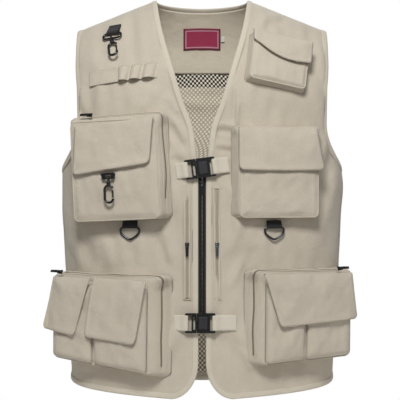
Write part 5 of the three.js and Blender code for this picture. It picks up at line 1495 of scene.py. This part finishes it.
def toolStrip():
    # depth = base + rise sin(pi t)^0.6 (0.78 - 0.22 v) inside each loop, with x sheared by lean z
    x, v = np.meshgrid(np.linspace(loops["left"], loops["right"], 200), np.linspace(-1, 1, 15))
    z = loops["tall"] / 2 * v
    sheared = x + loops["lean"] * z * ease(x, -10, 6)
    depth = 0.9 + 0.25 * waves(x, v * 9, 181, 22) - clothBehind(seat, sheared, z, gap=0.3)
    for x0, x1 in loops["rows"]:
        t = np.clip((x - x0) / (x1 - x0), 0, 1)
        depth = depth + loops["rise"] * np.sin(np.pi * t) ** 0.6 * (0.78 - 0.22 * v)
    front = np.stack([sheared, -depth, z], -1)
    back = np.stack([sheared, -depth + 1.0, z], -1)
    back[[0, -1]], back[:, [0, -1]] = front[[0, -1]], front[:, [0, -1]]
    return slab(front, back, np.stack([lengthAlong(front[7])[None] + 0 * v, z], -1)), front


seat = seatAt(-126, -129, -6)
strip, front = toolStrip()
seams = []
for x in (-56, -9, 11.5, 32, 56):
    column = np.abs(front[7, :, 0] - x).argmin()
    line = front[2:-2, column] + np.array([0, -0.25, 0])
    seams.append(stitches(line, np.broadcast_to([0, -1.0, 0], line.shape)))
for row in (2, -3):
    line = front[row, 3:84] + np.array([0, -0.25, 0])
    seams.append(stitches(line, np.broadcast_to([0, -1.0, 0], line.shape)))
addPiece("tool_loop_ribbon", [moved(strip, seat)] + [(moved(m, seat), stitchThread) for m in seams],
         shellCloth,
         replaces=["tool_loop_strip"])

# D-rings, the clip's oval ring and the snap hooks are bent from round wire
wire = {"dRing": 1.7, "clipRing": 1.7, "hook": 2.0, "gate": 1.3}
dOutline = [(-15.4, 0), (15.4, 0), (15.4, -11), (2.4, -20), (-2.4, -20), (-15.4, -11)]


def wireLoop(outline, y, radius, closed=True, squash=1.0, passes=3, count=96):
    # round wire along a rounded outline in the plane y
    line = roundOff([(x, y, z) for x, z in outline], closed, passes)
    if closed:
        line = resample(np.concatenate([line, line[:1]]), count + 1)[:-1]
    else:
        line = resample(line, count)
    return sweep(line, (0, -1.0, 0), circle(radius, 12, squash), closed=closed)


def foldedTab(wide, up, y, wrap=2.4):
    # two plies of webbing lying up the cloth and turning round the bar at height 0
    turn = np.radians(np.linspace(150, -150, 11))
    front = [(0, y - wrap * 0.9, 3.0)]
    loop = [(0, y - wrap * np.sin(a * 0.6), -wrap * np.cos(a * 0.6)) for a in turn]
    path = ([(0, -2.1, up), (0, -3.0, up * 0.7)] + front + loop
            + [(0, y + wrap * 0.75, 3.0), (0, -0.9, up * 0.7), (0, -0.8, up)])
    return ribbonAlong(np.array(path, float), wide, (1.0, 0, 0), 0.9, 0.6)


for side, name in ((1, "left_d_ring"), (-1, "right_d_ring")):
    seat = seatAt(side * 113, -370.0)
    addPiece(name + "_wire", [moved(wireLoop(dOutline, -3.9, wire["dRing"]), seat)], blackNickel,
             body=bodyOf[name], replaces=[name])
    tab = foldedTab(24.0, 10.0, -3.9)
    addPiece(name + "_webbing", [moved(tab, seat)], blackWebbing, replaces=[name + "_tab"])

shoulderSeat = seatAt(-142, -63.0, -8)
turn = np.radians(np.linspace(-90, 90, 9))
halfOval = [(10.5 + 5.3 * math.cos(a), -5.3 + 5.3 * math.sin(a)) for a in turn]
oval = halfOval + [(-x, z) for x, z in halfOval[::-1]]
addPiece("shoulder_clip_ring_wire", [moved(wireLoop(oval, -4.8, wire["clipRing"], passes=1), shoulderSeat)],
         blackPaint, body=bodyOf["shoulder_clip_ring"], replaces=["shoulder_clip_ring"])
addPiece("shoulder_clip_webbing", [moved(foldedTab(21.0, 20.0, -4.8), shoulderSeat)], blackWebbing,
         replaces=["shoulder_clip_tab"])

hookPath = ([(6.9 * math.sin(a), -17.9 + 6.9 * math.cos(a)) for a in np.radians(np.linspace(70, -90, 13))]
            + [(-6.6, -24.4)]
            + [(6.9 * math.sin(a), -30.9 + 6.9 * math.cos(a))
                for a in np.radians(np.linspace(-90, -262, 13))])
spindle = [(0.2, -10.4), (2.4, -10.4), (3.3, -9.2), (3.5, -7.6), (3.5, -5.6), (3.0, -4.3), (2.3, -3.5),
           (1.9, -3.2), (0.2, -3.2)]
shoulderHookSeat = childSeat(shoulderSeat, (0, -4.8, -10.6), rotation(0, math.radians(-15), 0))
for clip, seat in (("shoulder_clip", shoulderHookSeat),
                   ("pocket_clip", childSeat(childSeat(chestBag["seat"], (-11, -32, -10)), (0, -4.8, -6.9)))):
    body = wireLoop(hookPath, 0.0, wire["hook"], closed=False, squash=1.1, passes=1, count=110)
    eyeTurn = np.linspace(0, 2 * np.pi, 41)[:-1]
    eye = sweep(np.stack([np.zeros(40), 3.05 * np.cos(eyeTurn), 3.05 * np.sin(eyeTurn)], -1), (1.0, 0, 0),
                circle(0.95, 8, 1.6), closed=True)
    addPiece(clip + "_hook_cast", [moved(m, seat) for m in (body, eye, lathe(spindle))], blackPaint,
             body=bodyOf[clip + "_hook"], replaces=[clip + "_hook"])
    rod = wireLoop([(6.2, -18.9), (6.5, -24), (6.3, -30.0)], 0.0, wire["gate"], closed=False, count=24)
    addPiece(clip + "_gate_rod", [moved(rod, seat)], blackPaint,
             body=bodyOf[clip + "_gate"], replaces=[clip + "_gate"])
print("stage: hard parts")

floor = bpy.data.objects.new("floor", bpy.data.meshes.new("floor"))
sides, wide = studio["floorSides"], studio["floorRadius"]
turn = np.linspace(0, 2 * np.pi, sides + 1)[:-1]
rim = np.stack([wide * np.cos(turn), wide * np.sin(turn), np.full(sides, studio["floorZ"])], -1)
floor.data.from_pydata(rim.tolist(), [], [list(range(sides))])
floor.data.materials.append(floorPaint)
bpy.context.collection.objects.link(floor)
